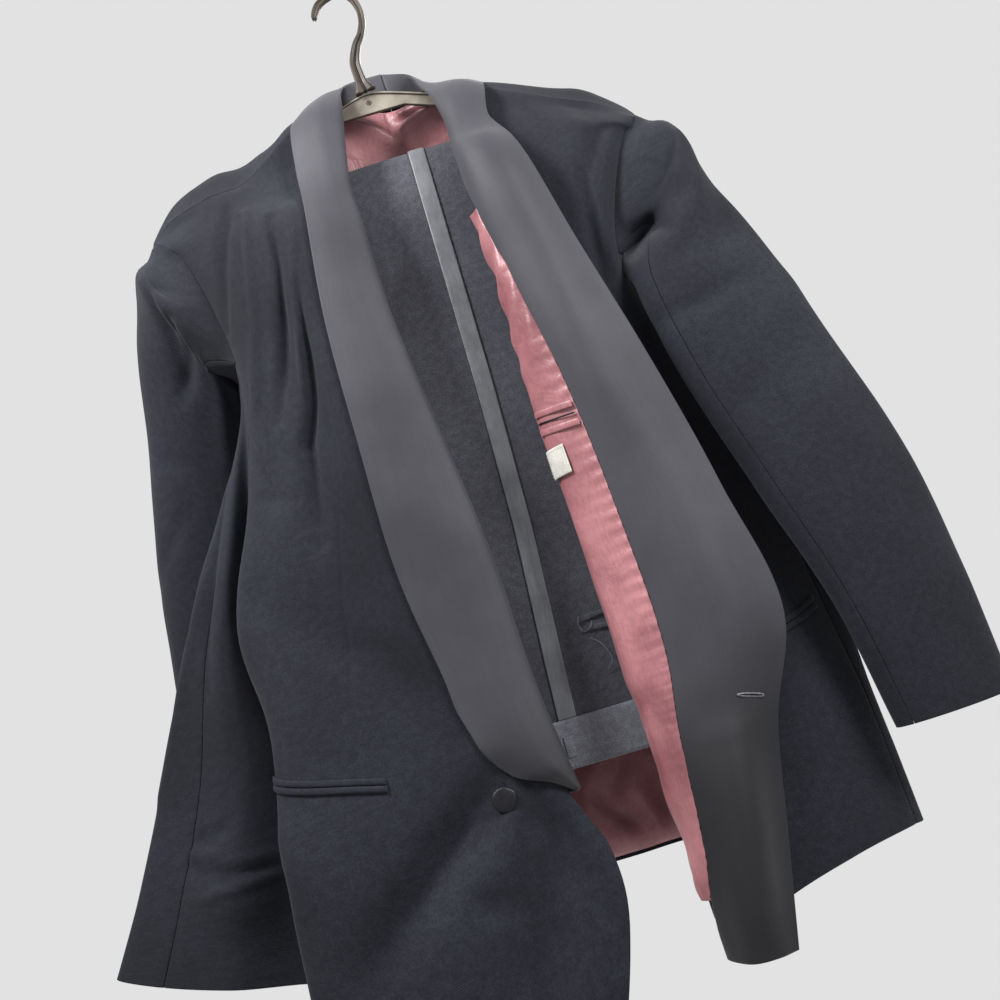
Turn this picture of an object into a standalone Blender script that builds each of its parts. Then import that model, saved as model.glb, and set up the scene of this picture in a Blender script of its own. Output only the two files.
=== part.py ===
"""Man's one-button shawl-lapel tuxedo on a moulded-plastic hanger, the trousers folded over the hanger's bar.

Metres, +Z up. The origin is where the hook rests on its rail. The jacket's front faces -Y and the wearer's
left is at +X. The cloth is one net of lines that run down the garment: seams, front edges and the largest
folds, round the body from the right front edge, by the back, to the left front edge. Every panel is a stretch
of that net between two seams, given its thickness, and what lies on a panel is made from the panel's own
points, moved out or in. Tables are in centimetres.
"""

import math

import bmesh
import bpy
import numpy as np

CM = 0.01

# Cloth and clearances, metres
WOOL = 0.0020
LEG_CLOTH = 0.0024
BAND_CLOTH = 0.0026
LAPEL_CLOTH = 0.0020
SATIN = 0.0012
LINING = 0.0010
TRIM = 0.0008
HALF_SEAM = 0.00018
PLY_GAP = 0.0005
JET_GAP = 0.0009

# The body's lines. Each crosses the shoulder or neck seam (top), the shoulder ridge (yoke), six levels and
# the hem. At the levels a line has only x and y: the height is the level's.
LEVELS = (-24, -36, -48, -60, -72, -80)
BODY_LINES = {
    # name: top (x, y, z), yoke (x, y, z), then (x, y) at -24, -36, -48, -60, -72, -80, then hem (x, y, z)
    "right_edge": ((-4.6, -0.1, -11.9), (-4.0, -3.6, -19.5), (-3.3, -5.5), (-2.9, -7.0), (-1.6, -8.0),
                  (-0.3, -8.0), (0.3, -8.5), (1.3, -9.6), (-1.0, -11.0, -99.0)),
    "right_lapel": ((-8.0, -0.6, -14.6), (-8.0, -3.4, -20.6), (-7.8, -6.0), (-8.5, -8.0), (-8.4, -9.0),
                   (-8.1, -9.0), (-6.3, -9.6), (-6.0, -10.6), (-6.0, -12.0, -98.3)),
    "right_dart": ((-12.8, -1.5, -17.6), (-12.5, -3.2, -20.8), (-12.2, -5.5), (-11.8, -7.5), (-11.6, -8.0),
                  (-12.9, -8.0), (-14.8, -9.2), (-15.0, -10.3), (-15.3, -11.6, -95.0)),
    "right_fold": ((-17.6, -1.4, -18.2), (-17.2, -2.4, -20.6), (-16.6, -3.8), (-16.3, -6.0), (-17.0, -6.4),
                  (-20.6, -6.6), (-21.9, -7.8), (-22.8, -9.6), (-22.7, -10.8, -91.5)),
    "right_front_seam": ((-23.3, -0.3, -20.4), (-21.9, -1.5, -22.0), (-20.4, -2.0), (-17.7, -4.0),
                        (-19.2, -4.5), (-23.0, -4.9), (-21.7, -5.6), (-22.3, -6.6), (-22.1, -7.4, -90.5)),
    "right_valley": ((-23.5, -0.2, -20.4), (-22.4, -0.1, -22.2), (-21.4, 0.3), (-18.4, -1.2), (-19.9, -1.8),
                    (-22.9, -2.0), (-21.9, -2.6), (-22.4, -3.0), (-22.9, -3.6, -89.4)),
    "right_side_ridge": ((-23.6, 0.2, -20.3), (-23.2, 1.0, -21.3), (-21.6, 2.0), (-18.9, 0.6), (-21.3, -2.7),
                        (-24.8, -3.2), (-26.0, -4.2), (-28.0, -4.8), (-30.0, -5.2, -87.6)),
    "right_back_seam": ((-23.4, 0.3, -20.2), (-23.7, 1.6, -19.9), (-21.2, 3.4), (-19.0, 2.4), (-22.4, -1.8),
                       (-26.8, -2.3), (-30.0, -3.0), (-33.3, -3.5), (-36.0, -3.8, -86.0)),
    "right_outline": ((-21.2, -1.0, -19.2), (-20.9, 0.7, -17.0), (-19.0, 4.1), (-18.2, 3.6), (-22.6, -0.6),
                     (-28.6, -1.0), (-34.2, -1.5), (-37.9, -1.9), (-40.2, -2.3, -84.5)),
    "right_wrap": ((-17.6, -1.4, -18.2), (-17.6, 0.8, -15.2), (-15.5, 4.6), (-15.5, 4.8), (-19.4, 2.2),
                  (-24.5, 1.2), (-30.0, 0.7), (-34.0, 0.4), (-36.5, 0.2, -85.6)),
    "right_back": ((-12.8, -1.5, -17.6), (-12.8, 1.0, -14.6), (-10.5, 5.0), (-9.5, 5.4), (-11.0, 5.1),
                  (-13.5, 4.6), (-16.5, 4.0), (-18.5, 3.7), (-20.5, 3.4, -87.3)),
    "right_neck": ((-5.0, 0.1, -11.55), (-5.2, 1.7, -11.3), (-4.0, 5.4), (-3.5, 5.9), (-4.0, 5.8),
                  (-5.0, 5.4), (-6.5, 4.9), (-7.3, 4.5), (-8.0, 4.1, -87.4)),
    "centre_back": ((2.3, 4.4, -11.4), (2.3, 5.0, -15.0), (2.1, 5.6), (2.1, 6.0), (2.4, 5.9),
                   (3.0, 5.5), (3.5, 4.9), (3.8, 4.5), (4.0, 4.1, -87.4)),
    "left_neck": ((8.2, 0.2, -13.1), (8.4, 1.8, -12.7), (8.5, 5.3), (8.0, 5.8), (8.5, 5.8),
                 (9.0, 5.4), (9.5, 4.9), (9.8, 4.6), (10.0, 4.2, -87.4)),
    "left_back": ((17.2, -1.4, -18.4), (17.5, 0.8, -16.2), (14.5, 4.9), (13.0, 5.3), (14.5, 5.2),
                 (15.5, 4.8), (16.5, 4.3), (16.8, 4.0), (17.0, 3.8, -88.8)),
    "left_wrap": ((21.4, -1.0, -20.1), (21.9, 0.9, -18.2), (20.0, 4.4), (17.5, 4.6), (20.8, 4.0),
                 (23.0, 3.6), (24.2, 3.2), (24.8, 2.9), (25.2, 2.6, -90.0)),
    "left_back_seam": ((24.6, 0.1, -21.6), (24.8, 1.5, -21.1), (23.3, 3.0), (19.2, 2.4), (23.2, 2.0),
                      (25.9, 1.6), (26.9, 1.4), (26.8, 1.3), (27.0, 1.2, -90.6)),
    "left_side": ((24.9, -0.1, -21.7), (24.4, 0.5, -23.2), (23.8, 0.8), (19.5, -0.4), (23.6, 0.2),
                 (26.6, 0.0), (27.6, -0.2), (27.2, -0.3), (27.4, -0.4, -91.0)),
    "left_front_seam": ((24.6, -0.4, -21.8), (23.7, -1.1, -23.1), (22.6, -1.3), (18.5, -3.4), (21.6, -1.5),
                       (24.6, -1.5), (25.9, -1.7), (26.3, -1.8), (26.5, -2.0, -91.0)),
    "left_front": ((17.2, -1.4, -18.4), (17.3, -2.9, -21.0), (17.0, -3.8), (16.2, -4.8), (17.5, -4.3),
                  (20.0, -4.1), (21.5, -4.3), (21.4, -4.5), (21.0, -4.8, -92.0)),
    "left_under": ((11.9, -0.9, -15.6), (11.6, -2.8, -19.5), (11.2, -4.2), (11.0, -5.0), (11.5, -5.1),
                  (12.5, -5.1), (13.5, -5.4), (13.5, -5.8), (13.2, -6.2, -94.0)),
    "left_turn": ((8.2, 0.1, -13.3), (7.35, -3.1, -19.8), (7.0, -5.2), (7.2, -6.0), (7.2, -6.4),
                 (7.5, -6.6), (7.9, -7.1), (8.0, -7.5), (8.7, -8.0, -95.6)),
    "left_facing": ((7.9, -0.9, -13.8), (7.5, -4.2, -20.2), (7.5, -6.8), (8.2, -8.0), (9.9, -8.6),
                   (10.7, -8.8), (10.9, -9.0), (9.9, -9.2), (9.8, -9.5, -96.0)),
    "left_ridge": ((8.5, -1.7, -14.4), (9.0, -4.8, -20.6), (9.5, -7.6), (11.0, -9.2), (12.2, -9.7),
                  (14.8, -9.7), (15.4, -9.7), (13.4, -9.8), (11.8, -10.0, -96.2)),
    "left_edge": ((9.3, -2.2, -15.4), (10.7, -4.4, -20.4), (12.0, -6.2), (14.5, -7.3), (17.1, -7.9),
                 (19.3, -7.9), (20.7, -7.9), (17.3, -8.1), (13.8, -8.8, -96.3)),
}
# Between the hips and the hem a line takes the middle of both, unless it is listed here
SKIRT = {
    "right_edge": (2.3, -10.5, -88.5),
    "right_lapel": (-6.0, -11.3, -88.5),
}
LINE = {name: place for place, name in enumerate(BODY_LINES)}
TOP, YOKE, CHEST, UNDERARM = range(4)

# Where panels take their points: steps down the net, and lines across each panel
DOWN_STEPS = (0, 0.35, 0.7, 1, 1.5, 2, 2.5, 3, 3.5, 4, 4.5, 5, 5.5, 6, 6.35, 6.7, 7, 7.5, 8, 8.4, 8.75, 9)

RIGHT_COLUMNS = (0, 0.4, 0.8, 1.2, 1.6, 2, 2.35, 2.7, 3, 3.25, 3.5, 3.75, 4)
BACK_RIGHT_COLUMNS = (7, 7.5, 8, 8.5, 9, 9.5, 10, 10.6, 11.3, 12)
BACK_LEFT_COLUMNS = (12, 12.5, 13, 13.5, 14, 14.5, 15, 15.5, 16)
# At the shoulder seams each column of a front meets this place on the back's columns
SHOULDER_RIGHT = (11.0, 10.9, 10.6, 10.45, 10.2, 10, 9.75, 9.5, 9, 8.5, 8, 7.5, 7)
SHOULDER_LEFT = (16, 15.5, 15, 14.5, 14, 13.75, 13.5, 13.35, 13.2, 13.16, 13.12, 13.09, 13.06, 13.03, 13)
# The right front's cloth stops this far along from the roll of the lapel
UNDER_ROLL = 0.14
# Shares of the way across the left front's outside, its lining strip and its facing
LEFT_OUTSIDE = (0, 0.1, 0.2, 0.32, 0.44, 0.58, 0.72, 0.86)
LEFT_STRIP = (0, 0.18, 0.3, 0.42, 0.54, 0.68, 0.84)
LEFT_FACING = (0, 0.2, 0.4, 0.6, 0.8, 1)
LEFT_COLUMNS = len(LEFT_OUTSIDE) + len(LEFT_STRIP) + len(LEFT_FACING)

# Largest folds: (line, level) of both ends, then half-width and height in cm. A trough's height is below 0.
BODY_FOLDS = (
    # from line, level, to line, level, half-width, height
    (0.9, 7.3, 1.55, 8.5, 1.5, 0.7),
    (0.5, 7.4, 1.0, 8.7, 1.2, -0.5),
    (0.1, 7.7, 0.35, 8.9, 1.6, 0.6),
    (2.5, 1.6, 2.9, 4.2, 1.5, -0.45),
    (2.1, 1.8, 2.3, 4.4, 1.3, -0.35),
    (1.6, 1.7, 1.7, 4.0, 1.4, -0.3),
    (18.9, 1.3, 19.1, 2.6, 1.3, 0.35),
    (10.4, 0.6, 10.45, 1.25, 1.5, -0.45),
    (6.3, 6.9, 5.6, 8.0, 1.8, 0.5),
    (10.4, 1.9, 10.9, 4.2, 2.4, -0.5),
    (13.5, 2.1, 13.2, 4.4, 2.4, -0.5),
    (9.6, 6.2, 9.9, 8.8, 3.0, 0.6),
    (14.4, 6.3, 14.5, 8.8, 2.6, 0.5),
)

# Shawl collar, from the centre back to the front of the shoulder. Each row crosses it: x, y, z
COLLAR_RIGHT = (
    # inside, turn, roll, then high, middle, outer
    ((2.25, 3.9, -10.8), (2.25, 3.5, -9.0), (2.25, 3.7, -7.35),
     (2.25, 4.8, -7.9), (2.25, 5.7, -9.9), (2.25, 6.3, -12.0)),
    ((-1.4, 3.5, -10.9), (-1.0, 3.0, -9.3), (-0.9, 3.1, -7.9),
     (-1.7, 4.3, -8.3), (-2.6, 5.2, -10.0), (-3.5, 5.8, -12.2)),
    ((-3.5, 0.5, -10.8), (-2.7, 0.2, -10.7), (-1.9, 0.1, -10.2),
     (-3.0, 0.9, -9.4), (-4.7, 2.1, -9.7), (-6.5, 3.2, -10.85)),
    ((-3.9, -1.1, -14.4), (-3.0, -1.6, -14.2), (-2.2, -2.2, -13.6),
     (-3.7, -2.7, -12.8), (-5.5, -2.5, -12.7), (-7.4, -2.1, -13.6)),
    ((-5.0, -2.5, -19.6), (-3.5, -3.2, -19.5), (-2.9, -4.2, -19.2),
     (-4.3, -4.9, -19.0), (-6.2, -4.7, -19.1), (-7.9, -4.2, -19.5)),
)
COLLAR_LEFT = (
    # outer, middle, high, roll, inside
    ((2.35, 6.3, -12.0), (2.35, 5.7, -9.9), (2.35, 4.8, -7.92), (2.35, 3.7, -7.35), (2.35, 3.9, -10.8)),
    ((7.5, 5.6, -12.7), (6.7, 5.1, -10.8), (5.9, 4.2, -9.3), (4.8, 3.0, -8.4), (5.3, 3.5, -10.9)),
    ((10.9, 2.8, -12.1), (8.9, 1.9, -11.2), (7.1, 1.1, -11.2), (5.6, 0.5, -12.0), (6.7, 0.7, -12.15)),
    ((11.4, -2.3, -15.3), (9.9, -2.9, -15.0), (8.2, -3.0, -15.1), (6.5, -2.6, -15.8), (7.1, -1.8, -16.6)),
)
# Below the collar the left lapel comes down to its front by this level: levels, then metres
COLLAR_LIFT = ((1, 1.5, 2, 2.5), (0.002, 0.0015, 0.0006, 0))
# How far the right lapel reaches from the front edge (0) to the lapel line (1), as its end rounds off
LAPEL_END = ((2, 1), (3, 1), (4, 1), (5, 1), (6, 1), (6.45, 0.9), (6.66, 0.78), (6.86, 0.52), (7.0, 0.26))
# Where the left facing starts on the net at each level, once it has come round the turn from the collar
FACING_START = ((1, 20.9), (2, 20.85), (2.5, 21.55), (3, 22), (7, 22), (7.5, 21.9), (8, 21.7), (8.4, 21.35),
                (8.75, 21.1), (9, 21.05))

# Sleeves: sections from the shoulder to the cuff, outer and inner ends (x, y, z) and half the depth
SLEEVE_RIGHT = (
    ((-25.1, 0.9, -21.9), (-20.3, 0.8, -34.8), 4.8),
    ((-27.6, 2.2, -27.5), (-19.9, 4.4, -37.6), 4.8),
    ((-29.6, 4.2, -38.5), (-19.2, 6.8, -43.0), 4.2),
    ((-31.7, 5.6, -50.0), (-19.5, 7.4, -51.0), 3.6),
    ((-32.9, 6.4, -61.0), (-21.2, 7.6, -61.5), 3.3),
    ((-33.5, 7.0, -72.0), (-22.0, 7.8, -72.0), 3.0),
    ((-34.0, 7.2, -81.5), (-23.0, 8.0, -81.5), 2.8),
)
SLEEVE_LEFT = (
    ((26.3, 0.2, -23.2), (20.9, -0.7, -34.9), 4.6),
    ((28.6, -0.9, -29.6), (19.4, -4.4, -37.2), 3.8),
    ((31.6, -2.0, -38.5), (18.5, -6.2, -40.5), 3.0),
    ((34.5, -2.4, -50.0), (19.7, -6.7, -50.0), 2.6),
    ((36.4, -2.8, -60.5), (22.6, -6.7, -60.5), 2.5),
    ((37.2, -3.1, -72.0), (26.0, -6.1, -72.0), 2.5),
    ((37.3, -3.3, -82.3), (27.7, -5.3, -82.7), 2.7),
)
SLEEVE_COLUMNS = 16
SLEEVE_STEPS = (0, 0.3, 0.6, 1, 1.5, 2, 2.5, 3, 3.5, 4, 5, 6, 7)
SLEEVE_FRONT_SEAM = 9.3
SLEEVE_BACK_SEAM = 5.3
# How far a sleeve's edges are drawn in, outside and inside, in half seam gaps: at its seams and at its head
SLEEVE_SEAM = (1.5, 10)
SLEEVE_HEAD = (3, 14)
# Sleeve folds: as BODY_FOLDS, with columns round the sleeve and rows down it
SLEEVE_LEFT_FOLDS = (
    (3.0, 1.2, 5.4, 0.9, 0.9, -0.9),
    (2.2, 1.7, 4.2, 2.3, 1.6, 0.5),
    (1.2, 2.2, 3.9, 3.0, 1.5, -0.4),
    (1.5, 3.4, 4.4, 3.9, 1.8, 0.35),
    (11.0, 3.2, 13.5, 3.6, 1.8, -0.5),
)
SLEEVE_RIGHT_FOLDS = (
    (15.2, 0.35, 12.2, 0.8, 1.0, -0.9),
    (13.0, 1.0, 12.4, 2.4, 1.0, -0.6),
    (3.0, 3.0, 5.5, 3.5, 1.8, -0.5),
)

# Trousers: the outer leg's path from the waist up over the bar and down behind: left x, right x, y, z
LEG_PATH = (
    (-11.0, 11.4, -3.35, -74.6),
    (-11.4, 14.2, -3.3, -68.0),
    (-10.8, 15.4, -3.05, -56.0),
    (-10.0, 15.0, -2.7, -42.0),
    (-9.3, 14.6, -2.0, -30.0),
    (-9.0, 14.4, -1.15, -20.6),
    (-9.0, 14.4, -0.7, -19.25),
    (-9.0, 14.4, 0.3, -18.75),
    (-9.0, 14.4, 1.3, -19.25),
    (-9.0, 14.4, 1.75, -20.6),
    (-8.9, 14.3, 2.1, -31.0),
    (-8.8, 14.0, 2.5, -46.0),
    (-8.6, 13.6, 2.8, -62.0),
)
LEG_STEPS = (0, 0.5, 1, 1.5, 2, 2.5, 3, 3.5, 4, 4.5, 5, 5.5, 6, 6.5, 7, 7.5, 8, 8.5, 9, 9.5, 10, 11, 12)
LEG_RAILS = 5
INNER_LEG_SHIFT = 0.0034
STRIPE_LEFT_X = (1.05, 1.3, 2.1, 2.45, 2.6)
STRIPE_Z = (-74.6, -70.0, -57.5, -44.0, -20.0)
STRIPE_WIDTH = 1.55
WAISTBAND_TOP = -74.66
WAISTBAND_BOTTOM = -78.6
WAISTBAND_X = (-11.1, 11.5)
WAISTBAND_Y = (-3.5, -1.9)
WAISTBAND_COLUMNS = 20
WAISTBAND_FLATNESS = 0.22
TAB_X = (1.0, 1.75)
TAB_Z = (-76.0, -77.7)
HIP_POCKET_X = (5.0, 12.5)
HIP_POCKET_UPPER_Z = (-66.95, -66.4)
HIP_POCKET_LOWER_Z = (-67.75, -68.4)
HIP_JET_HALF = 0.22

# Jacket pockets: each jet's ends as (line, z), with half its height
RIGHT_POCKET_LINES = (1.79, 3.08)
RIGHT_POCKET_Z = (-75.65, -72.95)
LEFT_POCKET_LINES = (20.0, 18.2)
LEFT_POCKET_Z = (-73.9, -71.0)
JET_HALF = 0.24
JET_APART = 0.29
JET_STEPS = 9

BUTTON_X = -4.6
BUTTON_Z = -79.2
BUTTON_RADIUS = 0.0100
BUTTON_THICK = 0.0045
BUTTON_STAND = 0.0012

# Inside the left front: ends as (line, level)
WELT_LINES = (20.95, 21.95)
WELT_UPPER = (4.10, 4.14)
WELT_LOWER = (4.24, 4.28)
WELT_HEIGHT = 0.045
LABEL_LINES = (20.92, 21.42)
LABEL_TOP = 4.40
LABEL_HEIGHT = 0.21

# Hanger
HOOK_PATH = ((0.36, -11.07), (0.24, -10.2), (0.14, -9.2), (0.14, -7.7), (0.74, -6.0), (1.4, -5.0),
             (1.86, -3.9), (2.02, -2.9), (1.98, -1.9), (1.62, -0.75), (0.95, 0.05), (0.0, 0.32),
             (-1.05, 0.05), (-1.85, -0.45), (-2.3, -1.1), (-2.6, -1.8))
HOOK_HALF_WIDTH = ((0, 1.05), (1, 0.62), (2, 0.54), (3, 0.52), (4, 0.42), (5, 0.34), (14, 0.32), (15, 0.27))
HOOK_HALF_DEPTH = 0.32
HUB_X = 0.45
ARM_LENGTH = 19.4
ARM_SLOPE = 0.385
ARM_TOP = -11.1
ARM_ROUNDING = 1.2
ARM_HEIGHT = 1.35
HUB_BOTTOM = -13.3
ARM_DEPTH = 0.6
ARM_WEB = 0.42
ARM_FLANGE = 0.22
ARM_Y = (0.5, 0.55)
BAR_RADIUS = 0.45
BAR_Z = -19.86
BAR_Y = 0.3
BAR_REACH = 19.2
BAR_SEAT = 0.05
# The bar's turned-up end: centimetres in from its end, and share of the way up to the arm
BAR_END = ((0, 1.0), (0.15, 0.45), (0.8, 0), (4, 0), (10, 0))


# ---------------------------------------------------------------- curves and nets


def smooth(knots, values, at):
    """Values given at knots, read at any places on the smooth curve through them."""
    slopes = np.gradient(values, knots, axis=0)
    low = np.clip(np.searchsorted(knots, at, side="right") - 1, 0, len(knots) - 2)
    step = knots[low + 1] - knots[low]
    u = (at - knots[low]) / step
    shape = (-1,) + (1,) * (values.ndim - 1)
    u, step = u.reshape(shape), step.reshape(shape)
    start, end = values[low], values[low + 1]
    lead, tail = slopes[low] * step, slopes[low + 1] * step
    return (
        start * (2 * u**3 - 3 * u**2 + 1)
        + lead * (u**3 - 2 * u**2 + u)
        + end * (3 * u**2 - 2 * u**3)
        + tail * (u**3 - u**2)
    )


def place_on(knots, index):
    """A place counted in lines, such as 2.5, as a distance along the knots."""
    low = np.clip(np.floor(index).astype(int), 0, len(knots) - 2)
    return knots[low] + (index - low) * (knots[low + 1] - knots[low])


class Net:
    """A sheet through lines of points, read at any (line, level), both counted in steps."""

    def __init__(self, lines, folds=(), closed=False):
        self.closed = len(lines) if closed else 0
        points = np.array(lines, float)
        if closed:
            points = np.concatenate([points[-2:], points, points[:3]])
        self.points = points
        apart = np.linalg.norm(np.diff(points, axis=0), axis=2).mean(axis=1)
        along = np.linalg.norm(np.diff(points, axis=1), axis=2).mean(axis=0)
        self.across = np.concatenate([[0], np.cumsum(apart)])
        self.down = np.concatenate([[0], np.cumsum(along)])
        self.folds = folds

    def cloth_place(self, line, level):
        """Where a point lies on the flattened cloth, in metres."""
        if self.closed:
            line = np.mod(line, self.closed) + 2
        return place_on(self.across, line), place_on(self.down, level)

    def plain(self, line, level):
        """Points of the sheet before its folds."""
        sideways, below = self.cloth_place(line, level)
        rows = smooth(self.down, np.moveaxis(self.points, 1, 0), below)
        slopes = np.gradient(rows, self.across, axis=1)
        low = np.clip(np.searchsorted(self.across, sideways, side="right") - 1, 0, len(self.across) - 2)
        each = np.arange(len(low))
        step = (self.across[low + 1] - self.across[low])[:, None]
        u = (sideways - self.across[low])[:, None] / step
        return (
            rows[each, low] * (2 * u**3 - 3 * u**2 + 1)
            + slopes[each, low] * step * (u**3 - 2 * u**2 + u)
            + rows[each, low + 1] * (3 * u**2 - 2 * u**3)
            + slopes[each, low + 1] * step * (u**3 - u**2)
        )

    def normals(self, line, level):
        """Unit directions out of the cloth's right side."""
        nudge = 0.02
        sideways = self.plain(line + nudge, level) - self.plain(line - nudge, level)
        below = self.plain(line, level + nudge) - self.plain(line, level - nudge)
        out = np.cross(sideways, below)
        return out / np.maximum(np.linalg.norm(out, axis=1, keepdims=True), 1e-12)

    def fold_height(self, line, level):
        """How far the folds lift the cloth, metres."""
        sideways, below = self.cloth_place(line, level)
        height = np.zeros(len(line))
        for line_0, level_0, line_1, level_1, half_width, lift in self.folds:
            ends = self.cloth_place(np.array([line_0, line_1], float), np.array([level_0, level_1], float))
            start = np.array([ends[0][0], ends[1][0]])
            along = np.array([ends[0][1], ends[1][1]]) - start
            length = np.linalg.norm(along)
            away = np.stack([sideways, below], axis=1) - start
            share = np.clip(away @ along / length**2, 0, 1)
            gap = np.linalg.norm(away - share[:, None] * along, axis=1)
            strength = np.sin(np.pi * (0.12 + 0.76 * share)) ** 0.7
            height += lift * CM * strength * np.exp(-((gap / (half_width * CM)) ** 2))
        return height

    def at(self, line, level, out=0.0):
        """Points at (line, level), moved out of the cloth's right side by `out` metres."""
        line = np.asarray(line, float).ravel()
        level = np.asarray(level, float).ravel()
        lift = self.fold_height(line, level) if self.folds else 0.0
        away = (np.ravel(out) + lift) * np.ones(len(line))
        return self.plain(line, level) + self.normals(line, level) * away[:, None]


def level_at_height(net, lines, heights):
    """The level at which each line passes each height."""
    steps = np.linspace(0, net.points.shape[1] - 1, 400)
    found = []
    for line, height in zip(lines, heights):
        z = net.plain(np.full(len(steps), line), steps)[:, 2]
        below = np.argmax(z < height)
        share = (z[below - 1] - height) / (z[below - 1] - z[below])
        found.append(steps[below - 1] + share * (steps[below] - steps[below - 1]))
    return np.array(found)


# ---------------------------------------------------------------- solids


def finish(name, color, roughness, sheen=0.0, metallic=0.0):
    material = bpy.data.materials.get(name) or bpy.data.materials.new(name)
    material.use_nodes = True
    shader = material.node_tree.nodes["Principled BSDF"]
    shader.inputs["Base Color"].default_value = (*color, 1)
    shader.inputs["Roughness"].default_value = roughness
    shader.inputs["Metallic"].default_value = metallic
    shader.inputs["Sheen Weight"].default_value = sheen
    return material


FINISHES = {
    "wool": ((0.030, 0.033, 0.042), 0.85, 0.3),
    "satin": ((0.055, 0.053, 0.062), 0.42, 0.1),
    "lining": ((0.36, 0.13, 0.15), 0.40, 0.1),
    "trouser_wool": ((0.028, 0.030, 0.038), 0.85, 0.3),
    "stripe_satin": ((0.10, 0.105, 0.12), 0.38, 0.1),
    "label": ((0.75, 0.73, 0.68), 0.7, 0.0),
    "hanger_plastic": ((0.36, 0.35, 0.31), 0.45, 0.0),
}


def add_mesh(name, points, faces, slot):
    mesh = bpy.data.meshes.new(name)
    mesh.from_pydata([tuple(point) for point in points], [], faces)
    shell = bmesh.new()
    shell.from_mesh(mesh)
    bmesh.ops.recalc_face_normals(shell, faces=shell.faces)
    shell.to_mesh(mesh)
    shell.free()
    mesh.shade_smooth()
    mesh.set_sharp_from_angle(angle=math.radians(40))
    mesh.materials.append(finish(slot, *FINISHES[slot]))
    piece = bpy.data.objects.new(name, mesh)
    bpy.context.scene.collection.objects.link(piece)
    return piece


def add_both_sides(faces, corners, back):
    """Two triangles on each side of a wall, split the same way, so that plies stay parallel."""
    first, second, third, fourth = corners
    for triangle in ((first, second, third), (first, third, fourth)):
        faces.append(triangle)
        faces.append(tuple(back + corner for corner in reversed(triangle)))


def wall(name, right_side, wrong_side, slot):
    """A closed wall between two grids of points, columns across and rows down."""
    columns, rows = right_side.shape[:2]
    points = np.concatenate([right_side.reshape(-1, 3), wrong_side.reshape(-1, 3)])
    back = columns * rows

    def at(column, row):
        return column * rows + row

    faces = []
    for column in range(columns - 1):
        for row in range(rows - 1):
            corners = (at(column, row), at(column + 1, row), at(column + 1, row + 1), at(column, row + 1))
            add_both_sides(faces, corners, back)
    rim = [at(column, 0) for column in range(columns)]
    rim += [at(columns - 1, row) for row in range(1, rows)]
    rim += [at(column, rows - 1) for column in range(columns - 2, -1, -1)]
    rim += [at(0, row) for row in range(rows - 2, 0, -1)]
    for here, there in zip(rim, rim[1:] + rim[:1]):
        faces.append((there, here, back + here, back + there))
    return add_mesh(name, points, faces, slot)


def tube_wall(name, right_side, wrong_side, slot):
    """As wall, for a grid whose columns close into a ring. It is open at both ends."""
    columns, rows = right_side.shape[:2]
    points = np.concatenate([right_side.reshape(-1, 3), wrong_side.reshape(-1, 3)])
    back = columns * rows
    faces = []
    for column in range(columns):
        beside = (column + 1) % columns
        for row in range(rows - 1):
            here, there = column * rows + row, beside * rows + row
            add_both_sides(faces, (here, there, there + 1, here + 1), back)
        top = column * rows, beside * rows
        bottom = column * rows + rows - 1, beside * rows + rows - 1
        faces.append((top[1], top[0], back + top[0], back + top[1]))
        faces.append((bottom[0], bottom[1], back + bottom[1], back + bottom[0]))
    return add_mesh(name, points, faces, slot)


def swept(name, sections, slot):
    """A closed bar through rings of points, with flat ends."""
    count, around = len(sections), len(sections[0])
    points = [point for section in sections for point in section]
    faces = []
    for step in range(count - 1):
        for corner in range(around):
            beside = (corner + 1) % around
            here, there = step * around, (step + 1) * around
            faces.append((here + corner, here + beside, there + beside, there + corner))
    faces.append(tuple(reversed(range(around))))
    faces.append(tuple((count - 1) * around + corner for corner in range(around)))
    return add_mesh(name, points, faces, slot)


def trimmed(grid, first, last, top, bottom):
    """The grid with its edges drawn in, so that a seam keeps its gap."""
    grid = grid.copy()

    def draw_in(edge, inner, by):
        way = inner - edge
        return edge + way / np.maximum(np.linalg.norm(way, axis=-1, keepdims=True), 1e-9) * by

    grid[0] = draw_in(grid[0], grid[1], first)
    grid[-1] = draw_in(grid[-1], grid[-2], last)
    grid[:, 0] = draw_in(grid[:, 0], grid[:, 1], top)
    grid[:, -1] = draw_in(grid[:, -1], grid[:, -2], bottom)
    return grid


def panel(name, net, lines, levels, right_out, wrong_out, slot, seams=(1, 1, 1, 0), top_edge=None):
    """A wall over a stretch of a net. `lines` and `levels` may be grids. `seams` says how far each edge is
    drawn in, in half seam gaps, as one number or as a pair for the two sides. `top_edge` gives, for each side
    of the wall, a line that the top edge's points are moved to."""
    lines, levels = np.asarray(lines, float), np.asarray(levels, float)
    if lines.ndim == 1:
        lines = lines[:, None]
    line_grid, level_grid = np.broadcast_arrays(lines, levels)
    shape = line_grid.shape + (3,)
    sides = []
    for out, side in ((right_out, 0), (wrong_out, 1)):
        away = np.broadcast_to(np.asarray(out, float), line_grid.shape)
        grid = net.at(line_grid, level_grid, away.ravel()).reshape(shape)
        if top_edge:
            grid[: len(top_edge[side]), 0] = top_edge[side]
        widths = [seam if np.isscalar(seam) else seam[side] for seam in seams]
        sides.append(trimmed(grid, *(HALF_SEAM * width for width in widths)))
    return wall(name, sides[0], sides[1], slot)


# ---------------------------------------------------------------- jacket body


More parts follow.
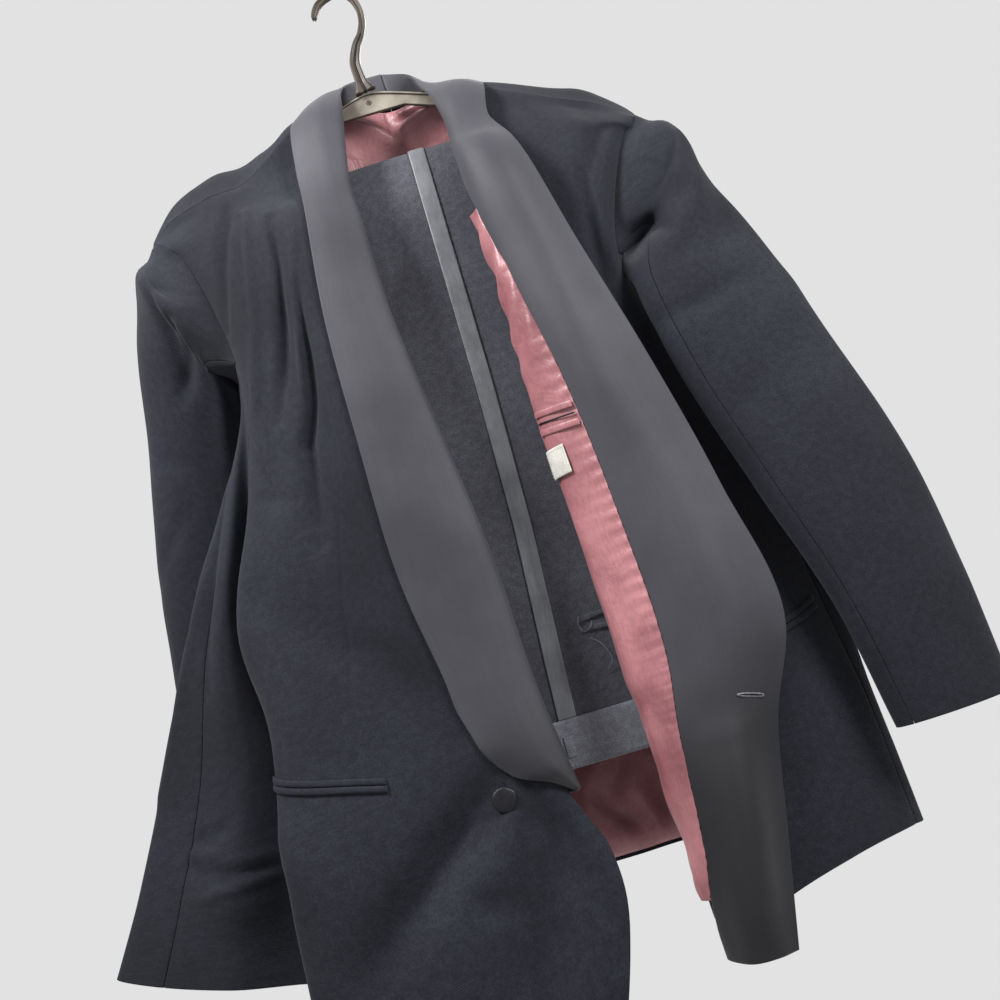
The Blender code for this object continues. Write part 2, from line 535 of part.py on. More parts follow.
def body_net():
    lines = []
    for name, row in BODY_LINES.items():
        top, yoke, hem = row[0], row[1], row[-1]
        middle = [(x, y, z) for (x, y), z in zip(row[2:-1], LEVELS)]
        skirt = SKIRT.get(name) or tuple((np.array(middle[-1]) + hem) / 2)
        lines.append([top, yoke, *middle, skirt, hem])
    return Net(np.array(lines, float) * CM, folds=BODY_FOLDS)


def shoulder_edge(body, columns, places):
    """The back's top edge, outside and inside, read at places between its columns."""
    sides = []
    for out in (0, -WOOL):
        edge = body.at(columns, np.zeros(len(columns)), np.full(len(columns), out))
        sides.append(np.stack([np.interp(places, columns, edge[:, axis]) for axis in range(3)], axis=1))
    return sides


def below_underarm():
    return [level for level in DOWN_STEPS if level >= UNDERARM]


def make_body(body):
    down = DOWN_STEPS
    side_down = below_underarm()
    right_lines = np.tile(np.array(RIGHT_COLUMNS)[:, None], (1, len(down)))
    right_lines[0] = np.interp(down, (7, 7.5), (UNDER_ROLL, 0))
    panel("front_right", body, right_lines, down, 0, -WOOL, "wool",
          top_edge=shoulder_edge(body, BACK_RIGHT_COLUMNS, SHOULDER_RIGHT))
    panel("side_right", body, (4, 4.5, 5, 5.5, 6, 6.5, 7), side_down, 0, -WOOL, "wool")
    panel("back_right", body, BACK_RIGHT_COLUMNS, down, 0, -WOOL, "wool")
    panel("back_left", body, BACK_LEFT_COLUMNS, down, 0, -WOOL, "wool")
    panel("side_left", body, (16, 16.5, 17, 17.5, 18), side_down, 0, -WOOL, "wool")
    panel("front_left", body, left_columns(down), down, 0, -WOOL, "wool", seams=(1, 0, 1, 0),
          top_edge=shoulder_edge(body, BACK_LEFT_COLUMNS, SHOULDER_LEFT))


def make_back_lining(body):
    """The back's lining, from under the collar to a little above the hem, on the back panels' own columns."""
    levels = [level for level in DOWN_STEPS if level < 8.8]
    away = -(WOOL + 2 * PLY_GAP)
    lines = BACK_RIGHT_COLUMNS[1:] + BACK_LEFT_COLUMNS[1:-1]
    panel("lining_back", body, lines, levels, away, away - LINING, "lining", seams=(0, 0, 6, 0))


def facing_start(levels):
    table = np.array(FACING_START, float)
    return np.interp(levels, table[:, 0], table[:, 1])


def left_columns(levels):
    """Columns of the left front at each level: its outside, then the strip of lining, then the facing."""
    start = facing_start(np.asarray(levels, float))
    turn_from = np.minimum(20.45, start - 0.4)
    outside = [18 + share * (turn_from - 18) for share in LEFT_OUTSIDE]
    strip = [turn_from + share * (start - turn_from) for share in LEFT_STRIP]
    facing = [start + share * (24 - start) for share in LEFT_FACING]
    return np.array(outside + strip + facing)


def make_left_lining(body):
    """The strip of lining from just inside the turn of the left front to the facing."""
    levels = np.array([level for level in DOWN_STEPS if 2.5 <= level <= 8.4])
    first = len(LEFT_OUTSIDE)
    lines = left_columns(levels)[first : first + len(LEFT_STRIP) + 1].copy()
    away = -(WOOL + PLY_GAP)
    panel("lining_left", body, lines, levels, away, away - LINING, "lining", seams=(0, 1, 0, 0))


# ---------------------------------------------------------------- shawl collar and lapels


def right_shawl_net(body):
    """The collar's rows, then rows from the right front's own points, moved out and turned in at the edge."""
    rows = [np.array(row, float) * CM for row in COLLAR_RIGHT]
    for level, reach in LAPEL_END:
        puff = min(1.0, reach / 0.6)
        outer = body.at([reach], [level], 0.0034)[0]
        middle = body.at([reach * 0.62], [level], 0.0034 + 0.0030 * puff)[0]
        high = body.at([reach * 0.27], [level], 0.0032 + 0.0034 * puff)[0]
        edge = body.at([0.0], [level])[0]
        inward = body.at([0.05], [level])[0] - edge
        inward /= np.linalg.norm(inward)
        out = body.normals(np.array([0.0]), np.array([float(level)]))[0]
        roll = edge + out * 0.0005
        turn = edge + inward * 0.0018 - out * 0.0062
        inside = edge + inward * 0.0210 - out * 0.0085
        rows.append(np.array([inside, turn, roll, high, middle, outer]))
    return Net(np.moveaxis(np.array(rows), 0, 1))


def make_shawl(body):
    """Both halves of the shawl. The left one runs from the centre back to the hem, as lapel and facing."""
    right = right_shawl_net(body)
    rows = right.points.shape[1] - 1
    levels = np.arange(0, rows + 0.01, 0.5)
    across = (0, 0.5, 1, 1.4, 1.7, 2, 2.3, 2.6, 3, 3.5, 4, 4.5, 5)
    panel("shawl_right", right, across, levels, 0, -LAPEL_CLOTH, "satin", seams=(0, 0, 1, 0))

    away = -(WOOL + PLY_GAP + SATIN)
    first = len(LEFT_OUTSIDE) + len(LEFT_STRIP)
    laid = np.array([level for level in DOWN_STEPS if level >= FACING_START[0][0]], float)
    lines = left_columns(laid)[first:]
    laid_grid = np.tile(laid, (len(lines), 1))
    shape = lines.shape + (3,)
    lift = np.interp(laid_grid, *COLLAR_LIFT).ravel()
    right_side = body.at(lines, laid_grid, away - lift).reshape(shape)
    wrong_side = body.at(lines, laid_grid, away + SATIN - lift).reshape(shape)
    rows = [across_row(np.array(row[::-1], float) * CM, len(lines)) for row in COLLAR_LEFT]
    rows += [right_side[:, 0], right_side[:, 1]]
    collar = Net(np.moveaxis(np.array(rows), 0, 1))
    steps = np.arange(0, len(COLLAR_LEFT), 0.5)
    line_grid, step_grid = np.meshgrid(np.arange(len(lines)), steps, indexing="ij")
    collar_shape = line_grid.shape + (3,)
    collar_right = collar.at(line_grid, step_grid).reshape(collar_shape)
    collar_wrong = collar.at(line_grid, step_grid, SATIN).reshape(collar_shape)
    right_side = trimmed(np.concatenate([collar_right, right_side], axis=1), HALF_SEAM, 0, HALF_SEAM, 0)
    wrong_side = trimmed(np.concatenate([collar_wrong, wrong_side], axis=1), HALF_SEAM, 0, HALF_SEAM, 0)
    wall("shawl_left", right_side, wrong_side, "satin")


def across_row(row, count):
    """A row of the collar read at as many places as the facing has columns."""
    return smooth(np.arange(len(row), dtype=float), row, np.linspace(0, len(row) - 1, count))


# ---------------------------------------------------------------- sleeves


def armhole(body, front, back, start_with_front, out=0.0):
    """The armhole's edge through the panels' own corners, down one side from the shoulder and up the other."""
    down = np.array([level for level in DOWN_STEPS if level <= UNDERARM], float)
    first_line, last_line = (front, back) if start_with_front else (back, front)
    across = np.linspace(first_line, last_line, 2 * abs(back - front) + 1)[1:-1]
    lines = np.concatenate([np.full(len(down), first_line), across, np.full(len(down), last_line)])
    levels = np.concatenate([down, np.full(len(across), UNDERARM), down[::-1]])
    return body.at(lines, levels, np.full(len(lines), float(out)))


def around_armhole(edge, half):
    """Places along the edge, set so that its lowest point is halfway round the sleeve."""
    along = np.concatenate([[0], np.cumsum(np.linalg.norm(np.diff(edge, axis=0), axis=1))])
    lowest = (along[np.argmax(edge[:, 2] < edge[:, 2].min() + 1e-5)] + along[-1] / 2) / 2
    columns = np.array([0, half, 2 * half], float)
    return along, columns, np.array([0, lowest, along[-1]])


def read_armhole(edge, reference, columns):
    """Points of an armhole's edge at columns of the sleeve, the same places for both sides of the wall."""
    along, knots, places = around_armhole(reference, SLEEVE_COLUMNS // 2)
    wanted = np.interp(np.mod(columns, SLEEVE_COLUMNS), knots, places)
    return np.stack([np.interp(wanted, along, edge[:, axis]) for axis in range(3)], axis=1)


def sleeve_net(edge, sections, side, folds):
    """Rings from the armhole to the cuff. side is -1 for the wearer's right sleeve and 1 for the left."""
    rings = [read_armhole(edge, edge, np.arange(SLEEVE_COLUMNS))]
    angles = 2 * math.pi * np.arange(SLEEVE_COLUMNS) / SLEEVE_COLUMNS
    for outer, inner, half_depth in sections:
        outer, inner = np.array(outer) * CM, np.array(inner) * CM
        centre, reach = (outer + inner) / 2, (outer - inner) / 2
        forward = np.cross((0, 0, 1), reach) * -side
        forward = forward / np.linalg.norm(forward) * half_depth * CM
        turn = side * np.sin(angles)
        rings.append(centre + np.cos(angles)[:, None] * reach + turn[:, None] * forward)
    return Net(np.moveaxis(np.array(rings), 0, 1), folds=folds, closed=True)


def make_sleeve(name, body, sections, front, back, side, folds):
    """The two pieces of a sleeve, seamed at front and back. Inside, its head stops short of the armhole."""
    edge = armhole(body, front, back, side > 0)
    edge_inside = armhole(body, front, back, side > 0, -WOOL)
    net = sleeve_net(edge, sections, side, folds)
    if side < 0:
        front_seam, back_seam = SLEEVE_FRONT_SEAM - SLEEVE_COLUMNS, SLEEVE_BACK_SEAM
        pieces = (("_top", front_seam, back_seam, 15), ("_under", back_seam, front_seam + SLEEVE_COLUMNS, 8))
    else:
        front_seam, back_seam = SLEEVE_COLUMNS - SLEEVE_FRONT_SEAM, -SLEEVE_BACK_SEAM
        pieces = (("_top", back_seam, front_seam, 15), ("_under", front_seam, back_seam + SLEEVE_COLUMNS, 8))
    for suffix, first, last, count in pieces:
        columns = np.linspace(first, last, count)
        heads = [read_armhole(side_edge, edge, columns) for side_edge in (edge, edge_inside)]
        panel(name + suffix, net, columns, SLEEVE_STEPS, 0, -WOOL, "wool",
              seams=(SLEEVE_SEAM, SLEEVE_SEAM, SLEEVE_HEAD, 0), top_edge=heads)


# ---------------------------------------------------------------- trousers


def leg_net():
    """The outer leg: lines from one edge to the other, each up the front, over the bar and down the back."""
    path = np.array(LEG_PATH)
    lines = []
    for share in np.linspace(0, 1, LEG_RAILS):
        x = path[:, 0] + share * (path[:, 1] - path[:, 0])
        lines.append(np.stack([x, path[:, 2], path[:, 3]], axis=1))
    return Net(np.array(lines) * CM)


def leg_lines_at_x(leg, x, levels):
    """The line of the leg's net that passes each x, at each level."""
    first, last = (leg.plain(np.full(len(levels), line), levels)[:, 0] for line in (0.0, LEG_RAILS - 1.0))
    return (x - first) / (last - first) * (LEG_RAILS - 1)


def make_trousers(leg):
    lines = np.linspace(0, LEG_RAILS - 1, 6)
    steps = np.array(LEG_STEPS, float)
    panel("trouser_leg_right", leg, lines, steps, 0, -LEG_CLOTH, "trouser_wool", seams=(0, 0, 1, 0))
    inner_lines = np.linspace(0.08, LEG_RAILS - 1.1, 6)
    inner_steps = steps.copy()
    inner_steps[-1] -= 0.12
    panel("trouser_leg_left", leg, inner_lines, inner_steps, -INNER_LEG_SHIFT, -INNER_LEG_SHIFT - LEG_CLOTH,
          "trouser_wool", seams=(0, 0, 1, 0))
    heights = leg.plain(np.full(len(steps), 2.0), steps)[:, 2]
    bar_top = np.argmax(heights)
    table_z, table_x = np.array(STRIPE_Z) * CM, np.array(STRIPE_LEFT_X) * CM
    left_x = np.interp(heights, table_z, table_x)
    left_x[bar_top:] = table_x[-1]
    edges = [left_x + share * STRIPE_WIDTH * CM for share in (0, 0.5, 1)]
    stripe = np.stack([leg_lines_at_x(leg, x, steps) for x in edges])
    panel("stripe", leg, stripe, steps, PLY_GAP + TRIM, PLY_GAP, "stripe_satin", seams=(0, 0, 1, 0))


def make_waistband():
    """A flattened ring, open above and below."""
    middle = np.mean(WAISTBAND_X), np.mean(WAISTBAND_Y)
    half_x, half_y = np.ptp(WAISTBAND_X) / 2, np.ptp(WAISTBAND_Y) / 2
    heights = np.linspace(WAISTBAND_TOP, WAISTBAND_BOTTOM, 3)
    sides = []
    for inward in (0, BAND_CLOTH / CM):
        ring = []
        for step in range(WAISTBAND_COLUMNS):
            angle = -2 * math.pi * step / WAISTBAND_COLUMNS
            across, deep = round(math.cos(angle), 9), round(math.sin(angle), 9)
            x = middle[0] + math.copysign(abs(across) ** 0.75, across) * (half_x - inward)
            y = middle[1] + math.copysign(abs(deep) ** WAISTBAND_FLATNESS, deep) * (half_y - inward)
            ring.append([(x, y, z) for z in heights])
        sides.append(np.array(ring) * CM)
    tube_wall("waistband", sides[0], sides[1], "trouser_wool")


def flat_patch(name, corners, out, thick, slot):
    """A small flat piece facing -Y: corners are (x, z) round it in centimetres, `out` its front's y."""
    front = np.array([[(x, out, z) for x, z in pair] for pair in corners]) * CM
    back = front + np.array([0, thick, 0])
    wall(name, front, back, slot)


def make_waistband_tab():
    front_y = WAISTBAND_Y[0] - (PLY_GAP + TRIM) / CM
    corners = (((TAB_X[1], TAB_Z[0]), (TAB_X[1], TAB_Z[1])), ((TAB_X[0], TAB_Z[0]), (TAB_X[0], TAB_Z[1])))
    flat_patch("waistband_tab", corners, front_y, TRIM, "trouser_wool")


def make_hip_pocket(leg):
    for name, heights in (("upper", HIP_POCKET_UPPER_Z), ("lower", HIP_POCKET_LOWER_Z)):
        share = np.linspace(0, 1, 6)
        x = (HIP_POCKET_X[0] + share * (HIP_POCKET_X[1] - HIP_POCKET_X[0])) * CM
        z = (heights[0] + share * (heights[1] - heights[0])) * CM
        level_table = np.linspace(0, 2, 60)
        z_table = leg.plain(np.full(60, 2.0), level_table)[:, 2]
        grids = []
        for offset in (-HIP_JET_HALF * CM, HIP_JET_HALF * CM):
            levels = np.interp(z + offset, z_table, level_table)
            grids.append((leg_lines_at_x(leg, x, levels), levels))
        lines = np.stack([grids[0][0], grids[1][0]], axis=1)
        levels = np.stack([grids[0][1], grids[1][1]], axis=1)
        panel("hip_pocket_jet_" + name, leg, lines, levels, PLY_GAP + TRIM, PLY_GAP, "trouser_wool",
              seams=(0, 0, 0, 0))


# ---------------------------------------------------------------- small pieces


def make_pocket(body, name, lines, heights):
    """A jetted pocket: two narrow strips with a slit between them, along a line that may slope."""
    share = np.linspace(0, 1, JET_STEPS)
    line = lines[0] + share * (lines[1] - lines[0])
    height = heights[0] + share * (heights[1] - heights[0])
    for part, middle in (("upper", JET_APART), ("lower", -JET_APART)):
        top = level_at_height(body, line, (height + middle + JET_HALF) * CM)
        bottom = level_at_height(body, line, (height + middle - JET_HALF) * CM)
        line_grid = np.stack([line, line], axis=1)
        level_grid = np.stack([top, bottom], axis=1)
        if lines[1] < lines[0]:
            line_grid, level_grid = line_grid[::-1], level_grid[::-1]
        panel(name + "_jet_" + part, body, line_grid, level_grid, JET_GAP + TRIM, JET_GAP, "wool",
              seams=(0, 0, 0, 0))


def inner_strip(body, name, lines, levels, height, slot):
    """A narrow strip on the left front's lining, sloping from one level to another."""
    away = -(WOOL + LINING + 2 * PLY_GAP)
    line = np.linspace(lines[0], lines[1], 7)
    top = levels[0] + np.linspace(0, 1, 7) * (levels[1] - levels[0])
    line_grid = np.stack([line, line], axis=1)
    level_grid = np.stack([top, top + height], axis=1)
    panel(name, body, line_grid, level_grid, away, away - TRIM, slot, seams=(0, 0, 0, 0))


def line_at_x(body, first, last, level, x):
    """The line between two others that passes x at this level."""
    lines = np.linspace(first, last, 60)
    xs = body.plain(lines, np.full(60, level))[:, 0]
    order = np.argsort(xs)
    return float(np.interp(x, xs[order], lines[order]))


def make_button(body):
    line = 0.8
    for _ in range(3):
        level = float(level_at_height(body, [line], [BUTTON_Z * CM])[0])
        line = line_at_x(body, 0, 2, level, BUTTON_X * CM)
    seat = body.at([line], [level])[0]
    out = body.normals(np.array([line]), np.array([level]))[0]
    side = np.cross(out, (0, 0, 1))
    side /= np.linalg.norm(side)
    up = np.cross(side, out)
    # distance out of the cloth and share of the radius, from the back of the button to its domed front
    profile = ((0.0, 0.30), (0.0, 0.55), (0.25, 0.92), (0.5, 1.0), (0.75, 0.93), (0.92, 0.62), (1.0, 0.25))
    rings = []
    for depth, share in profile:
        centre = seat + out * (BUTTON_STAND + depth * BUTTON_THICK)
        ring = []
        for step in range(20):
            angle = 2 * math.pi * step / 20
            ring.append(centre + (side * math.cos(angle) + up * math.sin(angle)) * share * BUTTON_RADIUS)
        rings.append(ring)
    swept("button", rings, "satin")


# ---------------------------------------------------------------- hanger


def make_hook():
    path = np.array(HOOK_PATH)
    knots = np.arange(len(path), dtype=float)
    places = np.linspace(0, len(path) - 1, 41)
    centre = smooth(knots, path, places)
    ahead = smooth(knots, path, np.minimum(places + 0.02, len(path) - 1))
    behind = smooth(knots, path, np.maximum(places - 0.02, 0))
    along = ahead - behind
    along /= np.linalg.norm(along, axis=1, keepdims=True)
    table = np.array(HOOK_HALF_WIDTH)
    width = np.interp(places, table[:, 0], table[:, 1])
    sections = []
    for (x, z), (dx, dz), half in zip(centre, along, width):
        ring = []
        for step in range(10):
            angle = 2 * math.pi * step / 10
            sideways, forward = half * math.cos(angle), HOOK_HALF_DEPTH * math.sin(angle)
            ring.append(((x + dz * sideways) * CM, -forward * CM, (z - dx * sideways) * CM))
        sections.append(ring[::-1])
    swept("hanger_hook", sections, "hanger_plastic")


def arm_top(x):
    """Height of the arms' top edge, rounded over the hub."""
    return ARM_TOP - ARM_SLOPE * (math.hypot(x - HUB_X, ARM_ROUNDING) - ARM_ROUNDING)


def arm_bottom(x):
    """Height of the arms' bottom edge, level under the hub."""
    return min(HUB_BOTTOM, arm_top(x) - ARM_HEIGHT)


def arm_middle(x):
    """The arms' middle plane, a little behind the hook's except at the neck."""
    return ARM_Y[0] + (ARM_Y[1] - ARM_Y[0]) * min(1.0, abs(x) / 6) ** 2


def make_arms():
    """Both arms in one bar: a plate with a flange along its top edge."""
    sections = []
    for x in HUB_X + np.linspace(-ARM_LENGTH, ARM_LENGTH, 37):
        top, bottom, y = arm_top(x), arm_bottom(x), arm_middle(x)
        deep, web = ARM_DEPTH / 2, ARM_WEB / 2
        corners = (
            (-deep, top), (deep, top), (deep, top - ARM_FLANGE), (web, top - ARM_FLANGE - 0.08),
            (web, bottom), (-web, bottom), (-web, top - ARM_FLANGE - 0.08), (-deep, top - ARM_FLANGE),
        )
        sections.append([(x * CM, (y + dy) * CM, z * CM) for dy, z in corners])
    swept("hanger_arms", sections, "hanger_plastic")


def make_bar():
    """The trouser bar: straight, with both ends turned up to the arms."""
    half = [(BAR_REACH - inward, rise) for inward, rise in BAR_END]
    rises = [(-reach, rise) for reach, rise in half] + [(0, 0.0)] + half[::-1]
    under_arm = arm_bottom(HUB_X + BAR_REACH) - BAR_SEAT
    path = []
    for reach, rise in rises:
        middle = arm_middle(reach)
        path.append((HUB_X + reach, BAR_Z + rise * (under_arm - BAR_Z), BAR_Y + rise * (middle - BAR_Y)))
    path = np.array(path)
    along = np.gradient(path[:, :2], axis=0)
    along[0], along[-1] = (ARM_SLOPE, -1), (ARM_SLOPE, 1)
    along /= np.linalg.norm(along, axis=1, keepdims=True)
    sections = []
    for (x, z, y), (dx, dz) in zip(path, along):
        ring = []
        for step in range(12):
            angle = 2 * math.pi * step / 12
            up, forward = BAR_RADIUS * math.cos(angle), BAR_RADIUS * math.sin(angle)
            ring.append(((x - dz * up) * CM, (y + forward) * CM, (z + dx * up) * CM))
        sections.append(ring[::-1])
    swept("hanger_bar", sections, "hanger_plastic")


# ---------------------------------------------------------------- assembly


def clear_scene():
    for piece in list(bpy.data.objects):
        bpy.data.objects.remove(piece, do_unlink=True)


def main():
    clear_scene()
    body = body_net()
    make_body(body)
    make_back_lining(body)
    make_left_lining(body)
    make_shawl(body)
    right_seams = LINE["right_front_seam"], LINE["right_back_seam"]
    left_seams = LINE["left_front_seam"], LINE["left_back_seam"]
    make_sleeve("sleeve_right", body, SLEEVE_RIGHT, *right_seams, -1, SLEEVE_RIGHT_FOLDS)
    make_sleeve("sleeve_left", body, SLEEVE_LEFT, *left_seams, 1, SLEEVE_LEFT_FOLDS)
    make_pocket(body, "pocket_right", RIGHT_POCKET_LINES, RIGHT_POCKET_Z)
    make_pocket(body, "pocket_left", LEFT_POCKET_LINES, LEFT_POCKET_Z)
    make_button(body)
    inner_strip(body, "inner_pocket_welt_upper", WELT_LINES, WELT_UPPER, WELT_HEIGHT, "lining")
    inner_strip(body, "inner_pocket_welt_lower", WELT_LINES, WELT_LOWER, WELT_HEIGHT, "lining")
    inner_strip(body, "label", LABEL_LINES, (LABEL_TOP, LABEL_TOP), LABEL_HEIGHT, "label")
    leg = leg_net()
    make_trousers(leg)
    make_waistband()
    make_waistband_tab()
    make_hip_pocket(leg)
    make_hook()
    make_arms()
    make_bar()


main()
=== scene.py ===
"""Looks of the dinner suit: dense cloth on the frame's own curves, with its creases, seams and threads."""

import math

import bpy
import numpy as np
from mathutils import Matrix


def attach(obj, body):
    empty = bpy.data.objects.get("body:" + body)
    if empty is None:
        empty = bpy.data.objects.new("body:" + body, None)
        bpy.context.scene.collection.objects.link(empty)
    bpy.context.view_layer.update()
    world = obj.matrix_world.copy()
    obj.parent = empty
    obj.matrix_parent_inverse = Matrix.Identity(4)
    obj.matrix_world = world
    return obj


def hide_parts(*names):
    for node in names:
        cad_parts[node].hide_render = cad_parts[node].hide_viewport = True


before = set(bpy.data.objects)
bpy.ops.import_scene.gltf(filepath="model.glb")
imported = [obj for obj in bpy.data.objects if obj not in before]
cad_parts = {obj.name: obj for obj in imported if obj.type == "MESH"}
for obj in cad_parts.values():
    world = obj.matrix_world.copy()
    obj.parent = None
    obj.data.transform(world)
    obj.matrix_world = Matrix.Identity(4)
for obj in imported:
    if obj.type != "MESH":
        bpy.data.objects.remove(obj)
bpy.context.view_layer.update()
SCENE = bpy.context.scene

CM = 0.01

# Cloth and clearances, metres
WOOL = 0.002
LEG_CLOTH = 0.0024
BAND_CLOTH = 0.0026
LAPEL_CLOTH = 0.002
SATIN = 0.0012
LINING = 0.001
TRIM = 0.0008
PLY_GAP = 0.0005
JET_GAP = 0.0009

# Dense cloth: spacing, extra points near the edges, and rims, metres
CLOTH_STEP = 0.0046
LINING_STEP = 0.0058
STRIP_STEP = 0.003
SATIN_STEP = 0.0042
LAPEL_STEP = 0.0038
NEAR_EDGE = (0.0008, 0.002, 0.0042)
RIM = 0.0006
RIM_BULGE = 0.28
GROOVE = 0.0007
PUCKER = 0.00028
NOISE_CELLS = 61

# The body's lines, in centimetres. Each crosses the shoulder or neck seam, the shoulder ridge, six levels and
# the hem: x, y, z twice, then x, y at each of LEVELS, then x, y, z of the hem.
LEVELS = (-24, -36, -48, -60, -72, -80)
BODY_LINES = {
    "right_edge": (-4.6, -0.1, -11.9, -4, -3.6, -19.5, -3.3, -5.5, -2.9, -7, -1.6, -8, -0.3, -8, 0.3,
        -8.5, 1.3, -9.6, -1, -11, -99),
    "right_lapel": (-8, -0.6, -14.6, -8, -3.4, -20.6, -7.8, -6, -8.5, -8, -8.4, -9, -8.1, -9, -6.3, -9.6,
        -6, -10.6, -6, -12, -98.3),
    "right_dart": (-12.8, -1.5, -17.6, -12.5, -3.2, -20.8, -12.2, -5.5, -11.8, -7.5, -11.6, -8, -12.9, -8,
        -14.8, -9.2, -15, -10.3, -15.3, -11.6, -95),
    "right_fold": (-17.6, -1.4, -18.2, -17.2, -2.4, -20.6, -16.6, -3.8, -16.3, -6, -17, -6.4, -20.6, -6.6,
        -21.9, -7.8, -22.8, -9.6, -22.7, -10.8, -91.5),
    "right_front_seam": (-23.3, -0.3, -20.4, -21.9, -1.5, -22, -20.4, -2, -17.7, -4, -19.2, -4.5, -23,
        -4.9, -21.7, -5.6, -22.3, -6.6, -22.1, -7.4, -90.5),
    "right_valley": (-23.5, -0.2, -20.4, -22.4, -0.1, -22.2, -21.4, 0.3, -18.4, -1.2, -19.9, -1.8, -22.9,
        -2, -21.9, -2.6, -22.4, -3, -22.9, -3.6, -89.4),
    "right_side_ridge": (-23.6, 0.2, -20.3, -23.2, 1, -21.3, -21.6, 2, -18.9, 0.6, -21.3, -2.7, -24.8,
        -3.2, -26, -4.2, -28, -4.8, -30, -5.2, -87.6),
    "right_back_seam": (-23.4, 0.3, -20.2, -23.7, 1.6, -19.9, -21.2, 3.4, -19, 2.4, -22.4, -1.8, -26.8,
        -2.3, -30, -3, -33.3, -3.5, -36, -3.8, -86),
    "right_outline": (-21.2, -1, -19.2, -20.9, 0.7, -17, -19, 4.1, -18.2, 3.6, -22.6, -0.6, -28.6, -1,
        -34.2, -1.5, -37.9, -1.9, -40.2, -2.3, -84.5),
    "right_wrap": (-17.6, -1.4, -18.2, -17.6, 0.8, -15.2, -15.5, 4.6, -15.5, 4.8, -19.4, 2.2, -24.5, 1.2,
        -30, 0.7, -34, 0.4, -36.5, 0.2, -85.6),
    "right_back": (-12.8, -1.5, -17.6, -12.8, 1, -14.6, -10.5, 5, -9.5, 5.4, -11, 5.1, -13.5, 4.6, -16.5,
        4, -18.5, 3.7, -20.5, 3.4, -87.3),
    "right_neck": (-5, 0.1, -11.55, -5.2, 1.7, -11.3, -4, 5.4, -3.5, 5.9, -4, 5.8, -5, 5.4, -6.5, 4.9,
        -7.3, 4.5, -8, 4.1, -87.4),
    "centre_back": (2.3, 4.4, -11.4, 2.3, 5, -15, 2.1, 5.6, 2.1, 6, 2.4, 5.9, 3, 5.5, 3.5, 4.9, 3.8, 4.5,
        4, 4.1, -87.4),
    "left_neck": (8.2, 0.2, -13.1, 8.4, 1.8, -12.7, 8.5, 5.3, 8, 5.8, 8.5, 5.8, 9, 5.4, 9.5, 4.9, 9.8,
        4.6, 10, 4.2, -87.4),
    "left_back": (17.2, -1.4, -18.4, 17.5, 0.8, -16.2, 14.5, 4.9, 13, 5.3, 14.5, 5.2, 15.5, 4.8, 16.5,
        4.3, 16.8, 4, 17, 3.8, -88.8),
    "left_wrap": (21.4, -1, -20.1, 21.9, 0.9, -18.2, 20, 4.4, 17.5, 4.6, 20.8, 4, 23, 3.6, 24.2, 3.2,
        24.8, 2.9, 25.2, 2.6, -90),
    "left_back_seam": (24.6, 0.1, -21.6, 24.8, 1.5, -21.1, 23.3, 3, 19.2, 2.4, 23.2, 2, 25.9, 1.6, 26.9,
        1.4, 27.2, 1.3, 27.5, 1.2, -90.4),
    "left_side": (24.9, -0.1, -21.7, 24.4, 0.5, -23.2, 23.8, 0.8, 19.5, -0.4, 23.6, 0.2, 26.6, 0, 27.6,
        -0.2, 27.6, -0.3, 27.9, -0.4, -90.7),
    "left_front_seam": (24.6, -0.4, -21.8, 23.7, -1.1, -23.1, 22.6, -1.3, 18.5, -3.4, 21.6, -1.5, 24.6,
        -1.5, 25.9, -1.7, 26.7, -1.8, 27, -2, -90.6),
    "left_front": (17.2, -1.4, -18.4, 17.3, -2.9, -21, 17, -3.8, 16.2, -4.8, 17.5, -4.3, 20, -4.1, 21.5,
        -4.3, 21.4, -4.5, 21, -4.8, -91.2),
    "left_under": (11.9, -0.9, -15.6, 11.6, -2.8, -19.5, 11.2, -4.2, 11, -5, 11.5, -5.1, 12.5, -5.1, 13.5,
        -5.4, 13.5, -5.8, 13.2, -6.2, -93.1),
    "left_turn": (8.2, 0.1, -13.3, 7.35, -3.1, -19.8, 7, -5.2, 7.2, -6, 7.2, -6.4, 7.5, -6.6, 7.9, -7.1,
        8, -7.5, 8.7, -8, -95.2),
    "left_facing": (7.9, -0.9, -13.8, 7.5, -4.2, -20.2, 7.5, -6.8, 8.2, -8, 9.9, -8.6, 10.7, -8.8, 10.9,
        -9, 9.9, -9.2, 9.8, -9.5, -95.6),
    "left_ridge": (8.5, -1.7, -14.4, 9, -4.8, -20.6, 9.5, -7.6, 11, -9.2, 12.2, -9.7, 14.8, -9.7, 15.4,
        -9.7, 13.4, -9.8, 11.6, -10, -95.7),
    "left_edge": (9.3, -2.2, -15.4, 10.7, -4.4, -20.4, 12, -6.2, 14.5, -7.3, 17.1, -7.9, 19.3, -7.9, 20.7,
        -7.9, 17.3, -8.1, 13.4, -8.8, -95.8),
}
# Between the hips and the hem a line takes the middle of both, unless it is listed here
SKIRT = {"right_edge": (2.3, -10.5, -88.5), "right_lapel": (-6, -11.3, -88.5)}
LINE = {name: place for place, name in enumerate(BODY_LINES)}
UNDERARM = 3
LAST_LEVEL = 9

# Columns of the panels, counted in lines of the body
RIGHT_COLUMNS = (0, 0.4, 0.8, 1.2, 1.6, 2, 2.35, 2.7, 3, 3.25, 3.5, 3.75, 4)
# More columns of the right front, at its fold, counted in RIGHT_COLUMNS
FOLD_COLUMNS = (4.7, 4.85, 4.94, 5, 5.06, 5.15, 5.3)
BACK_RIGHT_COLUMNS = (7, 7.5, 8, 8.5, 9, 9.5, 10, 10.6, 11.3, 12)
BACK_LEFT_COLUMNS = (12, 12.5, 13, 13.5, 14, 14.5, 15, 15.5, 16)
